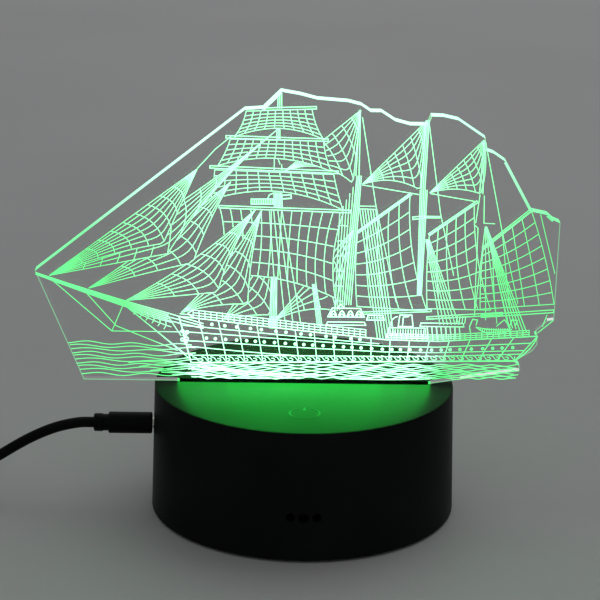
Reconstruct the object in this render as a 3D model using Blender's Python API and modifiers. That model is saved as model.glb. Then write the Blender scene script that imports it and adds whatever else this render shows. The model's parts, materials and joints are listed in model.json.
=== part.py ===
"""An edge-lit acrylic night lamp: a clear panel that stands in the slot of a round black base.

Metres, +Z up. The origin is on the axis of the base, at the level of the table that its feet
stand on. The front of the lamp faces -Y. The panel lifts out of the slot, the battery door
swings down from the underside, and the power plug pulls out of the left side, towards -X.
"""

import bmesh
import bpy
from math import cos, pi, radians, sin
from mathutils import Matrix, Vector

GAP = 0.0003  # clearance between pieces that touch on the real lamp

# Base
TOP_Z = 0.0375
UNDERSIDE_Z = 0.0008
BASE_RADIUS = 0.0435
TOP_RADIUS = 0.0426
RIM_ROUND = 0.0005
WALL = 0.0020
OUTSIDE = BASE_RADIUS + WALL  # past the wall, where a cutter starts
INSIDE = BASE_RADIUS - 2 * WALL  # through the wall, where a cutter ends
TOP_PLATE = 0.0022
CEILING_Z = TOP_Z - TOP_PLATE
ROUND_STEPS = 72

# Slot that holds the panel's tab
PANEL_THICKNESS = 0.0040
TAB_HALF_WIDTH = 0.0360
TAB_DEPTH = 0.0085
TAB_Z = TOP_Z - TAB_DEPTH
SLOT_HALF_WIDTH = TAB_HALF_WIDTH + GAP
SLOT_HALF_DEPTH = PANEL_THICKNESS / 2 + GAP
SLEEVE_WALL = 0.0020
LEDGE_TOP_Z = TAB_Z - GAP
LEDGE_THICKNESS = 0.0015
SLEEVE_Z = LEDGE_TOP_Z - LEDGE_THICKNESS
WINDOW_HALF_WIDTH = 0.0310

# Holes in the wall
HOLE_Z = 0.0132
HOLE_PITCH = 0.0036
CENTRE_HOLE_RADIUS = 0.0016
SIDE_HOLE_RADIUS = 0.0013
JACK_Z = 0.0241
JACK_HOLE_RADIUS = 0.0026

# Light strip under the slot
BOARD = 0.0016
LED_BOARD_Z = SLEEVE_Z - GAP - BOARD
LED_BOARD_HALF_LENGTH = 0.0303
LED_BOARD_FRONT_Y = -0.0046
LED_BOARD_REAR_Y = 0.0090
LED_PITCH = 0.0100
LED_COUNT = 6
LED_SIZE = Vector((0.0035, 0.0028, 0.0014))
LED_BOSS = (0.0200, 0.0062)
LED_BOSS_RADIUS = 0.0022
LED_BOARD_SCREW = (0.0017, 0.0010, 0.0007, 0.0055)

# Underside
COVER_RADIUS = 0.0410
COVER_THICKNESS = 0.0026
COVER_TOP_Z = UNDERSIDE_Z + COVER_THICKNESS
CASE_BOSSES = [(0.0180, -0.0315), (-0.0180, -0.0315), (0.0200, 0.0300), (-0.0200, 0.0300)]
CASE_BOSS_RADIUS = 0.0032
CASE_PILOT_RADIUS = 0.0013
CASE_PILOT_TOP_Z = 0.0145
CASE_SCREW = (0.0024, 0.0016, 0.0010, 0.0095)  # radius and height of its head, then of its shank
CASE_SCREW_Z = 0.0011
SEAT_RADIUS = 0.0040
SEAT_TOP_Z = COVER_TOP_Z + 0.0016
COUNTERBORE_Z = 0.0030
FEET = [(0.0356, 0.0), (-0.0356, 0.0), (0.0, 0.0330), (0.0, -0.0330)]
FOOT_RADIUS = 0.0040
FOOT_SINK = 0.0006

# Bay for three AA cells, side by side along X
CELL_PITCH = 0.0146
CELL_AXIS_Z = 0.0098
BAY_HALF_LENGTH = 0.0286
BAY_HALF_WIDTH = 0.0223
BAY_CEILING_Z = 0.0174
BAY_WALL = 0.0012
BAY_ROOF_Z = BAY_CEILING_Z + BAY_WALL
RIB_Z = 0.0132
RIB_WIDTH = 0.0010
CELL_ROWS = [(-1, CELL_PITCH), (1, 0.0), (-1, -CELL_PITCH)]  # the spring's end and y of each cell
CONTACT_X = BAY_HALF_LENGTH - GAP
CONTACT_WIRE = 0.0008
SPRING_REACH = 0.0052

# Battery door, hooked in at +Y and latched at -Y
DOOR_HALF_LENGTH = 0.0304
DOOR_HALF_WIDTH = 0.0240
DOOR_THICKNESS = 0.0014
DOOR_TOP_Z = UNDERSIDE_Z + DOOR_THICKNESS
RECESS_CEILING_Z = DOOR_TOP_Z + GAP
DOOR_HINGE = Vector((0.0, DOOR_HALF_WIDTH, 0.0009))
HOOK_X = 0.0150
HOOK_HALF_WIDTH = 0.0035
HOOK_UNDER_Z = COVER_TOP_Z + 0.0008  # room for the cover's lip, which the hook swings round
HOOK_TOP_Z = HOOK_UNDER_Z + 0.0012
HOOK_WINDOW_ROOM = 0.0012  # above the hook, for its swing
LATCH_HALF_WIDTH = 0.0060
LATCH_LENGTH = 0.0090
SLIT = 0.0010

# Control board, folded round the bay from the jack to the touch key
CONTROL_BOARD_Z = 0.0195
CONTROL_BOARD_TOP_Z = CONTROL_BOARD_Z + BOARD
CONTROL_OUTLINE = [
    (-0.0382, 0.0070), (-0.0382, -0.0080), (-0.0345, -0.0165), (-0.0260, -0.0260),
    (-0.0135, -0.0260), (-0.0135, -0.0335), (0.0135, -0.0335), (0.0135, -0.0110),
    (-0.0200, -0.0110), (-0.0200, 0.0070),
]
BOARD_POSTS = [(-0.0240, 0.0), (0.0080, -0.0170)]
POST_RADIUS = 0.0024
CONTROL_BOARD_SCREW = (0.0017, 0.0010, 0.0007, 0.0024)
CHIP_PLACE = (-0.0040, -0.0170)
CAPACITOR_PLACE = (0.0095, -0.0285)
TOUCH_KEY = (0.0, -0.0270)
TOUCH_SPRING_RADIUS = 0.0034
TOUCH_WIRE = 0.0007

# Wires inside the base, and the holes in the bay's roof for the battery's two
WIRE_WAYS = [(-0.0262, -0.0206), (0.0262, -0.0206)]
WIRE_RADIUS = 0.00045

# Power plug and its cable
WALL_AT_JACK = BASE_RADIUS - (BASE_RADIUS - TOP_RADIUS) * (JACK_Z / TOP_Z)
GRIP_FACE_X = -(WALL_AT_JACK + 0.0005)
GRIP_RADIUS = 0.0031
GRIP_LENGTH = 0.0125
NECK_RADIUS = 0.0026
NECK_GROOVE_RADIUS = 0.0024
NECK_GROOVE = 0.0018
NECK_LENGTH = 0.0042
NECK_END_X = GRIP_FACE_X - GRIP_LENGTH - NECK_LENGTH
SLEEVE_RADIUS = 0.00175
SLEEVE_BORE = 0.0008
SLEEVE_LENGTH = 0.0095
JACK_FRONT_X = -0.0405
JACK_LENGTH = 0.0097
JACK_HALF_WIDTH = 0.0032
JACK_BORE = 0.00205
JACK_PIN_RADIUS = 0.00045
CABLE_RADIUS = 0.00155

# Where the cable lies: down from the plug, then on the table into a coil
CABLE_ROUTE = [
    (NECK_END_X - GAP, 0.0, JACK_Z),
    (-0.0645, 0.0, 0.02395),
    (-0.0703, 0.0, 0.02265),
    (-0.0757, 0.0, 0.0205),
    (-0.0810, 0.0, 0.0177),
    (-0.0874, -0.0001, 0.0137),
    (-0.0940, -0.0004, 0.0096),
    (-0.1000, -0.0010, 0.0063),
    (-0.1056, -0.0017, 0.0038),
    (-0.1105, -0.0022, 0.0026),
]
COIL_CENTRE = Vector((-0.1240, 0.0200, 0.0))
COIL_INNER_RADIUS = 0.0117
COIL_OUTER_RADIUS = 0.0244
COIL_LOW_Z = 0.0010
COIL_HIGH_Z = 0.0073
TIE_THICKNESS = 0.0007
TIE_HALF_WIDTH = 0.0030
TAIL_X = COIL_CENTRE.x - 0.0227
TAIL_Z = 0.0057
TAIL_START_Y = 0.0331
USB_NECK_Y = 0.0390
USB_NECK_LENGTH = 0.0050
USB_NECK_RADIUS = 0.0025
USB_BODY = Vector((0.0150, 0.0200, 0.0076))
USB_SHELL = Vector((0.0120, 0.0120, 0.0045))
USB_SHELL_WALL = 0.0004

# Outline of the panel above its tab, clockwise from the bowsprit's tip, as (x, z)
PANEL_OUTLINE = [
    (-0.0760, 0.0699), (-0.0175, 0.1168), (-0.0125, 0.1172), (-0.0076, 0.1221),
    (-0.0023, 0.1212), (0.0024, 0.1200), (0.0109, 0.1194), (0.0145, 0.1185),
    (0.0172, 0.1167), (0.0201, 0.1167), (0.0240, 0.1142), (0.0281, 0.1131),
    (0.0330, 0.1131), (0.0339, 0.1157), (0.0373, 0.1156), (0.0414, 0.1147),
    (0.0490, 0.1096), (0.0492, 0.1062), (0.0515, 0.1054), (0.0549, 0.1031),
    (0.0628, 0.0889), (0.0672, 0.0880), (0.0689, 0.0865), (0.0708, 0.0857),
    (0.0704, 0.0572), (0.0686, 0.0569), (0.0654, 0.0539), (0.0658, 0.0529),
    (0.0660, 0.0500), (0.0647, 0.0480), (0.0620, 0.0463), (0.0596, 0.0446),
    (0.0612, 0.0434), (0.0613, 0.0419), (0.0501, 0.0401),
    (TAB_HALF_WIDTH, TOP_Z + GAP), (TAB_HALF_WIDTH, TAB_Z),
    (-TAB_HALF_WIDTH, TAB_Z), (-TAB_HALF_WIDTH, TOP_Z + GAP),
    (-0.0627, TOP_Z + GAP),
]


# Scene and materials

def clear_scene():
    for thing in list(bpy.data.objects):
        bpy.data.objects.remove(thing)


def new_collection(name):
    collection = bpy.data.collections.new(name)
    bpy.context.scene.collection.children.link(collection)
    return collection


clear_scene()
LAMP = new_collection("edge_lit_lamp")
CUTTERS = new_collection("cutters")


def material(name, colour, roughness=0.5, metallic=0.0):
    made = bpy.data.materials.new(name)
    made.use_nodes = True
    shader = made.node_tree.nodes["Principled BSDF"]
    shader.inputs["Base Color"].default_value = (*colour, 1.0)
    shader.inputs["Roughness"].default_value = roughness
    shader.inputs["Metallic"].default_value = metallic
    return made


BLACK_ABS = ((0.012, 0.012, 0.012), 0.42)
BLACK_PVC = ((0.010, 0.010, 0.011), 0.50)
RUBBER = ((0.020, 0.020, 0.020), 0.85)
BOARD_GREEN = ((0.020, 0.120, 0.045), 0.40)
BOARD_WHITE = ((0.750, 0.750, 0.720), 0.45)
NICKEL = ((0.620, 0.610, 0.580), 0.28, 1.0)
TINPLATE = ((0.480, 0.480, 0.470), 0.35, 1.0)
EPOXY = ((0.015, 0.015, 0.018), 0.35)
LED_WHITE = ((0.850, 0.880, 0.800), 0.35)
ACRYLIC = ((0.900, 0.970, 0.920), 0.03)
CAN_BLUE = ((0.020, 0.030, 0.070), 0.35)
WIRE_RED = ((0.450, 0.020, 0.020), 0.45)
WIRE_GREEN = ((0.020, 0.300, 0.050), 0.45)
WIRE_BLUE = ((0.020, 0.050, 0.450), 0.45)
WIRE_BLACK = ((0.020, 0.020, 0.020), 0.45)


# Shapes

def link(thing, finish=None):
    if finish is None:
        CUTTERS.objects.link(thing)
        thing.hide_render = True
        thing.display_type = "WIRE"
    else:
        LAMP.objects.link(thing)
        thing.data.materials.append(material(thing.name, *finish))
    return thing


def from_bmesh(name, bm, finish=None):
    mesh = bpy.data.meshes.new(name)
    bm.to_mesh(mesh)
    bm.free()
    return link(bpy.data.objects.new(name, mesh), finish)


def box(name, low, high, finish=None, origin=(0, 0, 0)):
    """A box from its lowest to its highest corner, with its object's origin at origin."""
    low, high, origin = Vector(low), Vector(high), Vector(origin)
    bm = bmesh.new()
    size = Matrix.Diagonal((*(high - low), 1.0))
    bmesh.ops.create_cube(bm, size=1.0, matrix=Matrix.Translation((low + high) / 2 - origin) @ size)
    made = from_bmesh(name, bm, finish)
    made.location = origin
    return made


def rod(name, radius, start, end, finish=None, segments=32):
    """A cylinder from start to end."""
    start, end = Vector(start), Vector(end)
    bm = bmesh.new()
    bmesh.ops.create_cone(bm, cap_ends=True, segments=segments, radius1=radius, radius2=radius,
                          depth=(end - start).length)
    made = from_bmesh(name, bm, finish)
    made.location = (start + end) / 2
    made.rotation_euler = (end - start).to_track_quat("Z", "Y").to_euler()
    return made


def turned(name, profile, finish=None, steps=ROUND_STEPS, closed=False):
    """A profile of (radius, height) points, spun round Z. It runs down the outer side."""
    bm = bmesh.new()
    points = [bm.verts.new((r, 0.0, z)) for r, z in profile]
    for first, second in zip(points, points[1:] + points[:1] if closed else points[1:]):
        bm.edges.new((first, second))
    made = from_bmesh(name, bm, finish)
    screw = made.modifiers.new("spin", "SCREW")
    screw.steps = screw.render_steps = steps
    screw.use_merge_vertices = True
    screw.merge_threshold = 1e-5
    screw.use_smooth_shade = False
    return made


def tube(name, points, radius, finish, resolution=2):
    """A round wire or cable along a row of points."""
    curve = bpy.data.curves.new(name, "CURVE")
    curve.dimensions = "3D"
    curve.bevel_depth = radius
    curve.bevel_resolution = resolution
    curve.use_fill_caps = True
    spline = curve.splines.new("POLY")
    spline.points.add(len(points) - 1)
    for place, point in zip(spline.points, points):
        place.co = (*point, 1.0)
    return link(bpy.data.objects.new(name, curve), finish)


def plate(name, outline, thickness, finish):
    """A flat outline of (x, y) points in a 2D curve, thickness thick about its own plane."""
    curve = bpy.data.curves.new(name, "CURVE")
    curve.dimensions = "2D"
    curve.fill_mode = "BOTH"
    curve.extrude = thickness / 2
    spline = curve.splines.new("POLY")
    spline.points.add(len(outline) - 1)
    for place, point in zip(spline.points, outline):
        place.co = (*point, 0.0, 1.0)
    spline.use_cyclic_u = True
    return link(bpy.data.objects.new(name, curve), finish)


def as_mesh(thing):
    """The same piece as a mesh, with its caps welded, so that a Boolean can cut it."""
    graph = bpy.context.evaluated_depsgraph_get()
    mesh = bpy.data.meshes.new_from_object(thing.evaluated_get(graph))
    bm = bmesh.new()
    bm.from_mesh(mesh)
    bmesh.ops.remove_doubles(bm, verts=bm.verts, dist=1e-6)
    bm.to_mesh(mesh)
    bm.free()
    name, place = thing.name, thing.matrix_world.copy()
    bpy.data.objects.remove(thing)
    made = bpy.data.objects.new(name, mesh)
    made.matrix_world = place
    LAMP.objects.link(made)
    return made


def boolean(target, others, operation):
    for other in others:
        step = target.modifiers.new(other.name, "BOOLEAN")
        step.operation = operation
        step.solver = "EXACT"
        step.object = other
    return target


def cut(target, *others):
    return boolean(target, others, "DIFFERENCE")


def join(target, *others):
    return boolean(target, others, "UNION")


def soften(target, width, segments=2, angle=30):
    bevel = target.modifiers.new("soften", "BEVEL")
    bevel.width = width
    bevel.segments = segments
    bevel.limit_method = "ANGLE"
    bevel.angle_limit = radians(angle)
    return target


def helix(radius_from, radius_to, height, turns, per_turn=10):
    """Points up a coil whose radius changes evenly, round the Z axis."""
    count = round(turns * per_turn)
    points = []
    for i in range(count + 1):
        share = i / count
        radius = radius_from + (radius_to - radius_from) * share
        angle = 2 * pi * turns * share
        points.append((radius * cos(angle), radius * sin(angle), height * share))
    return points


def smooth_path(route, per_span):
    """Points on a smooth curve that passes through each point of the route."""
    ends = [Vector(p) for p in route]
    ends = [2 * ends[0] - ends[1], *ends, 2 * ends[-1] - ends[-2]]
    points = []
    for a, b, c, d in zip(ends, ends[1:], ends[2:], ends[3:]):
        for step in range(per_span):
            t = step / per_span
            points.append(0.5 * (2 * b + (c - a) * t + (2 * a - 5 * b + 4 * c - d) * t ** 2
                                 + (3 * b - a - 3 * c + d) * t ** 3))
    points.append(ends[-2])
    return points


# Base housing

def shell_profile():
    return [
        (0.0, TOP_Z), (TOP_RADIUS - RIM_ROUND, TOP_Z),
        (TOP_RADIUS - RIM_ROUND * 0.3, TOP_Z - RIM_ROUND * 0.3), (TOP_RADIUS, TOP_Z - RIM_ROUND),
        (BASE_RADIUS, UNDERSIDE_Z), (BASE_RADIUS - WALL, UNDERSIDE_Z),
        (TOP_RADIUS - WALL, CEILING_Z), (0.0, CEILING_Z),
    ]


def top_shell():
    shell = turned("top_shell", shell_profile(), BLACK_ABS)
    overlap = CEILING_Z + TOP_PLATE / 2
    sleeve_x, sleeve_y = SLOT_HALF_WIDTH + SLEEVE_WALL, SLOT_HALF_DEPTH + SLEEVE_WALL
    added = [box("slot_sleeve", (-sleeve_x, -sleeve_y, SLEEVE_Z), (sleeve_x, sleeve_y, overlap))]
    for i, (x, y) in enumerate(CASE_BOSSES):
        added.append(rod(f"case_boss_{i}", CASE_BOSS_RADIUS, (x, y, SEAT_TOP_Z + GAP), (x, y, overlap)))
    for side in (-1, 1):
        x, y = side * LED_BOSS[0], LED_BOSS[1]
        added.append(rod(f"led_boss_{side}", LED_BOSS_RADIUS, (x, y, SLEEVE_Z), (x, y, overlap)))
    join(shell, *added)
    removed = [
        box("slot", (-SLOT_HALF_WIDTH, -SLOT_HALF_DEPTH, LEDGE_TOP_Z),
            (SLOT_HALF_WIDTH, SLOT_HALF_DEPTH, TOP_Z + WALL)),
        box("light_window", (-WINDOW_HALF_WIDTH, -SLOT_HALF_DEPTH, SLEEVE_Z - WALL),
            (WINDOW_HALF_WIDTH, SLOT_HALF_DEPTH, LEDGE_TOP_Z + GAP)),
        rod("jack_hole", JACK_HOLE_RADIUS, (-OUTSIDE, 0, JACK_Z), (-INSIDE, 0, JACK_Z)),
    ]
    for i, (x, y) in enumerate(CASE_BOSSES):
        removed.append(rod(f"case_pilot_{i}", CASE_PILOT_RADIUS, (x, y, 0), (x, y, CASE_PILOT_TOP_Z),
                           segments=16))
    for side in (-1, 1):
        x, y = side * LED_BOSS[0], LED_BOSS[1]
        removed.append(rod(f"led_pilot_{side}", 0.0010, (x, y, 0.020), (x, y, 0.0330), segments=16))
    for i in (-1, 0, 1):
        radius = SIDE_HOLE_RADIUS if i else CENTRE_HOLE_RADIUS
        x = i * HOLE_PITCH
        removed.append(rod(f"front_hole_{i}", radius, (x, -OUTSIDE, HOLE_Z), (x, -INSIDE, HOLE_Z),
                           segments=24))
    return cut(shell, *removed)


def bottom_cover():
    cover = turned("bottom_cover", [(0.0, COVER_TOP_Z), (COVER_RADIUS, COVER_TOP_Z),
                                    (COVER_RADIUS, UNDERSIDE_Z), (0.0, UNDERSIDE_Z)], BLACK_ABS)
    outer_x, outer_y = BAY_HALF_LENGTH + BAY_WALL, BAY_HALF_WIDTH + BAY_WALL
    added = [box("bay_outside", (-outer_x, -outer_y, COVER_TOP_Z - GAP), (outer_x, outer_y, BAY_ROOF_Z))]
    for i, (x, y) in enumerate(CASE_BOSSES):
        added.append(rod(f"seat_{i}", SEAT_RADIUS, (x, y, COVER_TOP_Z - GAP), (x, y, SEAT_TOP_Z)))
    for i, (x, y) in enumerate(BOARD_POSTS):
        added.append(rod(f"post_{i}", POST_RADIUS, (x, y, BAY_ROOF_Z - GAP),
                         (x, y, CONTROL_BOARD_Z - GAP), segments=20))
    join(cover, *added)
    removed = [
        box("bay_inside", (-BAY_HALF_LENGTH, -BAY_HALF_WIDTH, -WALL),
            (BAY_HALF_LENGTH, BAY_HALF_WIDTH, BAY_CEILING_Z)),
        box("door_recess", (-DOOR_HALF_LENGTH - GAP, -DOOR_HALF_WIDTH - GAP, -WALL),
            (DOOR_HALF_LENGTH + GAP, DOOR_HALF_WIDTH + GAP, RECESS_CEILING_Z)),
    ]
    for side in (-1, 1):
        x = side * HOOK_X
        half = HOOK_HALF_WIDTH + GAP
        removed.append(box(f"hook_window_{side}", (x - half, BAY_HALF_WIDTH - WALL, COVER_TOP_Z),
                           (x + half, BAY_HALF_WIDTH + WALL, HOOK_TOP_Z + HOOK_WINDOW_ROOM)))
    for i, (x, y) in enumerate(CASE_BOSSES):
        removed.append(rod(f"counterbore_{i}", 0.0028, (x, y, 0), (x, y, COUNTERBORE_Z), segments=24))
        removed.append(rod(f"screw_way_{i}", 0.0015, (x, y, 0), (x, y, 0.0100), segments=16))
    for i, (x, y) in enumerate(FEET):
        removed.append(rod(f"foot_pocket_{i}", FOOT_RADIUS + GAP, (x, y, 0), (x, y, UNDERSIDE_Z + FOOT_SINK)))
    for i, (x, y) in enumerate(BOARD_POSTS):
        removed.append(rod(f"post_pilot_{i}", 0.0010, (x, y, BAY_CEILING_Z + GAP), (x, y, 0.0300),
                           segments=12))
    for i, (x, y) in enumerate(WIRE_WAYS):
        removed.append(rod(f"wire_way_{i}", 0.0012, (x, y, 0.0150), (x, y, 0.0220), segments=16))
    cut(cover, *removed)
    ribs = []
    for side in (-1, 1):
        y = side * CELL_PITCH / 2
        ribs.append(box(f"cell_rib_{side}", (-BAY_HALF_LENGTH - GAP, y - RIB_WIDTH / 2, RIB_Z),
                        (BAY_HALF_LENGTH + GAP, y + RIB_WIDTH / 2, BAY_CEILING_Z + GAP)))
    return join(cover, *ribs)


def battery_door():
    """A flat door whose object sits on its hinge line, at the tips of its two hooks."""
    low = (-DOOR_HALF_LENGTH, -DOOR_HALF_WIDTH, UNDERSIDE_Z)
    door = box("battery_door", low, (DOOR_HALF_LENGTH, DOOR_HALF_WIDTH, DOOR_TOP_Z), BLACK_ABS,
               origin=DOOR_HINGE)
    added, removed = [], []
    riser_y = BAY_HALF_WIDTH - GAP
    for side in (-1, 1):
        x0, x1 = side * HOOK_X - HOOK_HALF_WIDTH, side * HOOK_X + HOOK_HALF_WIDTH
        added.append(box(f"hook_riser_{side}", (x0, riser_y - 0.0014, DOOR_TOP_Z - GAP),
                         (x1, riser_y, HOOK_TOP_Z)))
        added.append(box(f"hook_tip_{side}", (x0, riser_y - GAP, HOOK_UNDER_Z),
                         (x1, riser_y + 0.0036, HOOK_TOP_Z)))
        slit_x = side * (LATCH_HALF_WIDTH + SLIT / 2)
        removed.append(box(f"latch_slit_{side}", (slit_x - SLIT / 2, -DOOR_HALF_WIDTH - WALL, 0),
                           (slit_x + SLIT / 2, -DOOR_HALF_WIDTH + LATCH_LENGTH, WALL * 2)))
    added.append(box("latch_nose", (-0.0040, -BAY_HALF_WIDTH + GAP, DOOR_TOP_Z - GAP),
                     (0.0040, -BAY_HALF_WIDTH + GAP + 0.0012, DOOR_TOP_Z + 0.0020)))
    for i in range(4):
        y = -DOOR_HALF_WIDTH + 0.0020 + i * 0.0016
        removed.append(box(f"grip_groove_{i}", (-0.0045, y, 0), (0.0045, y + 0.0008, UNDERSIDE_Z + 0.0005)))
    join(door, *added)
    return cut(door, *removed)


def screw(name, place, head_radius, head_height, shank_radius, shank_length, downwards=False):
    """A pan-head screw with a cross recess, standing on its head unless it is turned downwards."""
    profile = [
        (0.0, head_height + shank_length), (shank_radius * 0.5, head_height + shank_length),
        (shank_radius, head_height + shank_length - shank_radius), (shank_radius, head_height),
        (head_radius, head_height), (head_radius, head_height * 0.35),
        (head_radius * 0.75, 0.0), (0.0, 0.0),
    ]
    made = turned(name, profile, NICKEL, steps=20)
    turn = Matrix.Rotation(pi, 4, "X") if downwards else Matrix.Identity(4)
    made.matrix_world = Matrix.Translation(place) @ turn
    arm, blade = head_radius * 0.6, head_radius * 0.12
    recess = [box(f"{name}_cross_a", (-arm, -blade, -head_height), (arm, blade, head_height * 0.5)),
              box(f"{name}_cross_b", (-blade, -arm, -head_height), (blade, arm, head_height * 0.5))]
    for cutter in recess:
        cutter.matrix_world = made.matrix_world.copy()
    return cut(made, *recess)


def case_screws():
    for number, (x, y) in enumerate(CASE_BOSSES, 1):
        screw(f"case_screw_{number}", (x, y, CASE_SCREW_Z), *CASE_SCREW)


def feet():
    top = UNDERSIDE_Z + FOOT_SINK - GAP
    for number, (x, y) in enumerate(FEET, 1):
        foot = turned(f"foot_{number}", [(0.0, top), (FOOT_RADIUS, top), (FOOT_RADIUS, 0.0003),
                                         (FOOT_RADIUS - 0.0003, 0.0), (0.0, 0.0)], RUBBER, steps=24)
        foot.location = (x, y, 0.0)


# Panel

def acrylic_panel():
    """The outline is drawn in the curve's own plane and stood up about X."""
    panel = plate("acrylic_panel", PANEL_OUTLINE, PANEL_THICKNESS, ACRYLIC)
    panel.rotation_euler = (pi / 2, 0, 0)
    return panel


# Light strip

def led_board():
    board = box("led_board", (-LED_BOARD_HALF_LENGTH, LED_BOARD_FRONT_Y, LED_BOARD_Z),
                (LED_BOARD_HALF_LENGTH, LED_BOARD_REAR_Y, LED_BOARD_Z + BOARD), BOARD_WHITE)
    holes = []
    for side in (-1, 1):
        x, y = side * LED_BOSS[0], LED_BOSS[1]
        holes.append(rod(f"led_board_hole_{side}", 0.0011, (x, y, 0.020), (x, y, 0.030), segments=16))
    return cut(board, *holes)


def led_chips():
    base_z = LED_BOARD_Z + BOARD + GAP
    for i in range(LED_COUNT):
        x = (i - (LED_COUNT - 1) / 2) * LED_PITCH
        half = LED_SIZE / 2
        chip = box(f"led_chip_{i + 1}", (x - half.x, -half.y, base_z),
                   (x + half.x, half.y, base_z + LED_SIZE.z), LED_WHITE)
        lens = rod(f"led_lens_{i + 1}", half.y * 0.72, (x, 0, base_z + LED_SIZE.z * 0.8),
                   (x, 0, base_z + LED_SIZE.z * 2), segments=20)
        cut(chip, lens)


def led_board_screws():
    for number, side in enumerate((-1, 1), 1):
        place = (side * LED_BOSS[0], LED_BOSS[1], LED_BOARD_Z - GAP - LED_BOARD_SCREW[1])
        screw(f"led_board_screw_{number}", place, *LED_BOARD_SCREW)


# Control board and what it carries

def control_board():
    board = plate("control_board", CONTROL_OUTLINE, BOARD, BOARD_GREEN)
    board.location.z = CONTROL_BOARD_Z + BOARD / 2
    bpy.context.view_layer.update()
    board = as_mesh(board)
    holes = [rod(f"control_hole_{i}", 0.0011, (x, y, 0.015), (x, y, 0.025), segments=16)
             for i, (x, y) in enumerate(BOARD_POSTS)]
    return cut(board, *holes)


def control_board_screws():
    for number, (x, y) in enumerate(BOARD_POSTS, 1):
        top = CONTROL_BOARD_TOP_Z + GAP + CONTROL_BOARD_SCREW[1]
        screw(f"control_board_screw_{number}", (x, y, top), *CONTROL_BOARD_SCREW, downwards=True)


def control_chip():
    """An eight-legged chip: its legs are joined to the body."""
    x, y = CHIP_PLACE
    z = CONTROL_BOARD_TOP_Z + GAP
    chip = box("control_chip", (x - 0.0025, y - 0.0020, z + 0.0002),
               (x + 0.0025, y + 0.0020, z + 0.0016), EPOXY)
    legs = []
    for i in range(4):
        leg_x = x + (i - 1.5) * 0.00127
        legs.append(box(f"chip_legs_{i}", (leg_x - 0.0002, y - 0.0030, z),
                        (leg_x + 0.0002, y + 0.0030, z + 0.0005)))
    return join(chip, *legs)


def transistors():
    for number in range(1, 4):
        x, y, z = -0.0250 + number * 0.0045, -0.0175, CONTROL_BOARD_TOP_Z + GAP
        box(f"transistor_{number}", (x - 0.0015, y - 0.0007, z), (x + 0.0015, y + 0.0007, z + 0.0011), EPOXY)


def capacitor():
    top = CONTROL_BOARD_TOP_Z + GAP + 0.0070
    made = turned("capacitor", [(0.0, top), (0.0022, top), (0.0025, top - 0.0003), (0.0025, top - 0.0055),
                                (0.0023, top - 0.0059), (0.0025, top - 0.0063), (0.0025, top - 0.0070),
                                (0.0, top - 0.0070)], CAN_BLUE, steps=24)
    made.location = (*CAPACITOR_PLACE, 0.0)
    return made


def touch_spring():
    """The spring that carries the key's touch signal from the board to the underside of the top."""
    low = CONTROL_BOARD_TOP_Z + GAP + TOUCH_WIRE / 2
    high = CEILING_Z - GAP - TOUCH_WIRE / 2
    points = helix(TOUCH_SPRING_RADIUS, TOUCH_SPRING_RADIUS, high - low, 5)
    spring = tube("touch_spring", points, TOUCH_WIRE / 2, TINPLATE)
    spring.location = (*TOUCH_KEY, low)
    return spring


def ir_receiver():
    """The remote control's receiver, behind the three holes, hung by its legs from the board."""
    body = box("ir_receiver", (-0.0028, -0.0365, HOLE_Z - 0.0034), (0.0028, -0.0325, HOLE_Z + 0.0034), EPOXY)
    dome = rod("ir_dome", 0.0021, (0, -0.0380, HOLE_Z), (0, -0.0360, HOLE_Z), segments=24)
    legs = [box(f"ir_leg_{i}", (i * 0.0022 - 0.00025, -0.0334, HOLE_Z + 0.0030),
                (i * 0.0022 + 0.00025, -0.0329, CONTROL_BOARD_Z - GAP)) for i in (-1, 0, 1)]
    return join(body, dome, *legs)


def power_jack():
    """A round power socket: its bore faces the hole in the wall, with a pin down the middle."""
    low_z = CONTROL_BOARD_TOP_Z + GAP
    high_z = 2 * JACK_Z - low_z
    rear_x = JACK_FRONT_X + JACK_LENGTH
    jack = box("power_jack", (JACK_FRONT_X, -JACK_HALF_WIDTH, low_z),
               (rear_x, JACK_HALF_WIDTH, high_z), EPOXY)
    cut(jack, rod("jack_bore", JACK_BORE, (JACK_FRONT_X - WALL, 0, JACK_Z), (rear_x - 0.0015, 0, JACK_Z)))
    return join(jack, rod("jack_pin", JACK_PIN_RADIUS, (JACK_FRONT_X + 0.0010, 0, JACK_Z),
                          (rear_x - 0.0010, 0, JACK_Z), segments=12))


# Battery contacts: the cells lie in series, so springs and plates change ends row by row

def battery_plates():
    for number, (spring_end, y) in enumerate(CELL_ROWS, 1):
        x = -spring_end * CONTACT_X
        inner = x + spring_end * 0.0004
        low, high = sorted((x, inner))
        contact = box(f"battery_plate_{number}", (low, y - 0.0045, CELL_AXIS_Z - 0.0045),
                      (high, y + 0.0045, CELL_AXIS_Z + 0.0045), TINPLATE)
        dimple = rod(f"dimple_{number}", 0.0020, (x, y, CELL_AXIS_Z),
                     (inner + spring_end * 0.0004, y, CELL_AXIS_Z), segments=20)
        join(contact, dimple)


def battery_springs():
    for number, (end, y) in enumerate(CELL_ROWS, 1):
        points = helix(0.0040, 0.0024, SPRING_REACH, 3.5)
        spring = tube(f"battery_spring_{number}", points, CONTACT_WIRE / 2, TINPLATE)
        spring.rotation_euler = (0, -end * pi / 2, 0)
        spring.location = (end * (CONTACT_X - CONTACT_WIRE / 2), y, CELL_AXIS_Z)


# Wires inside the base

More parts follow.
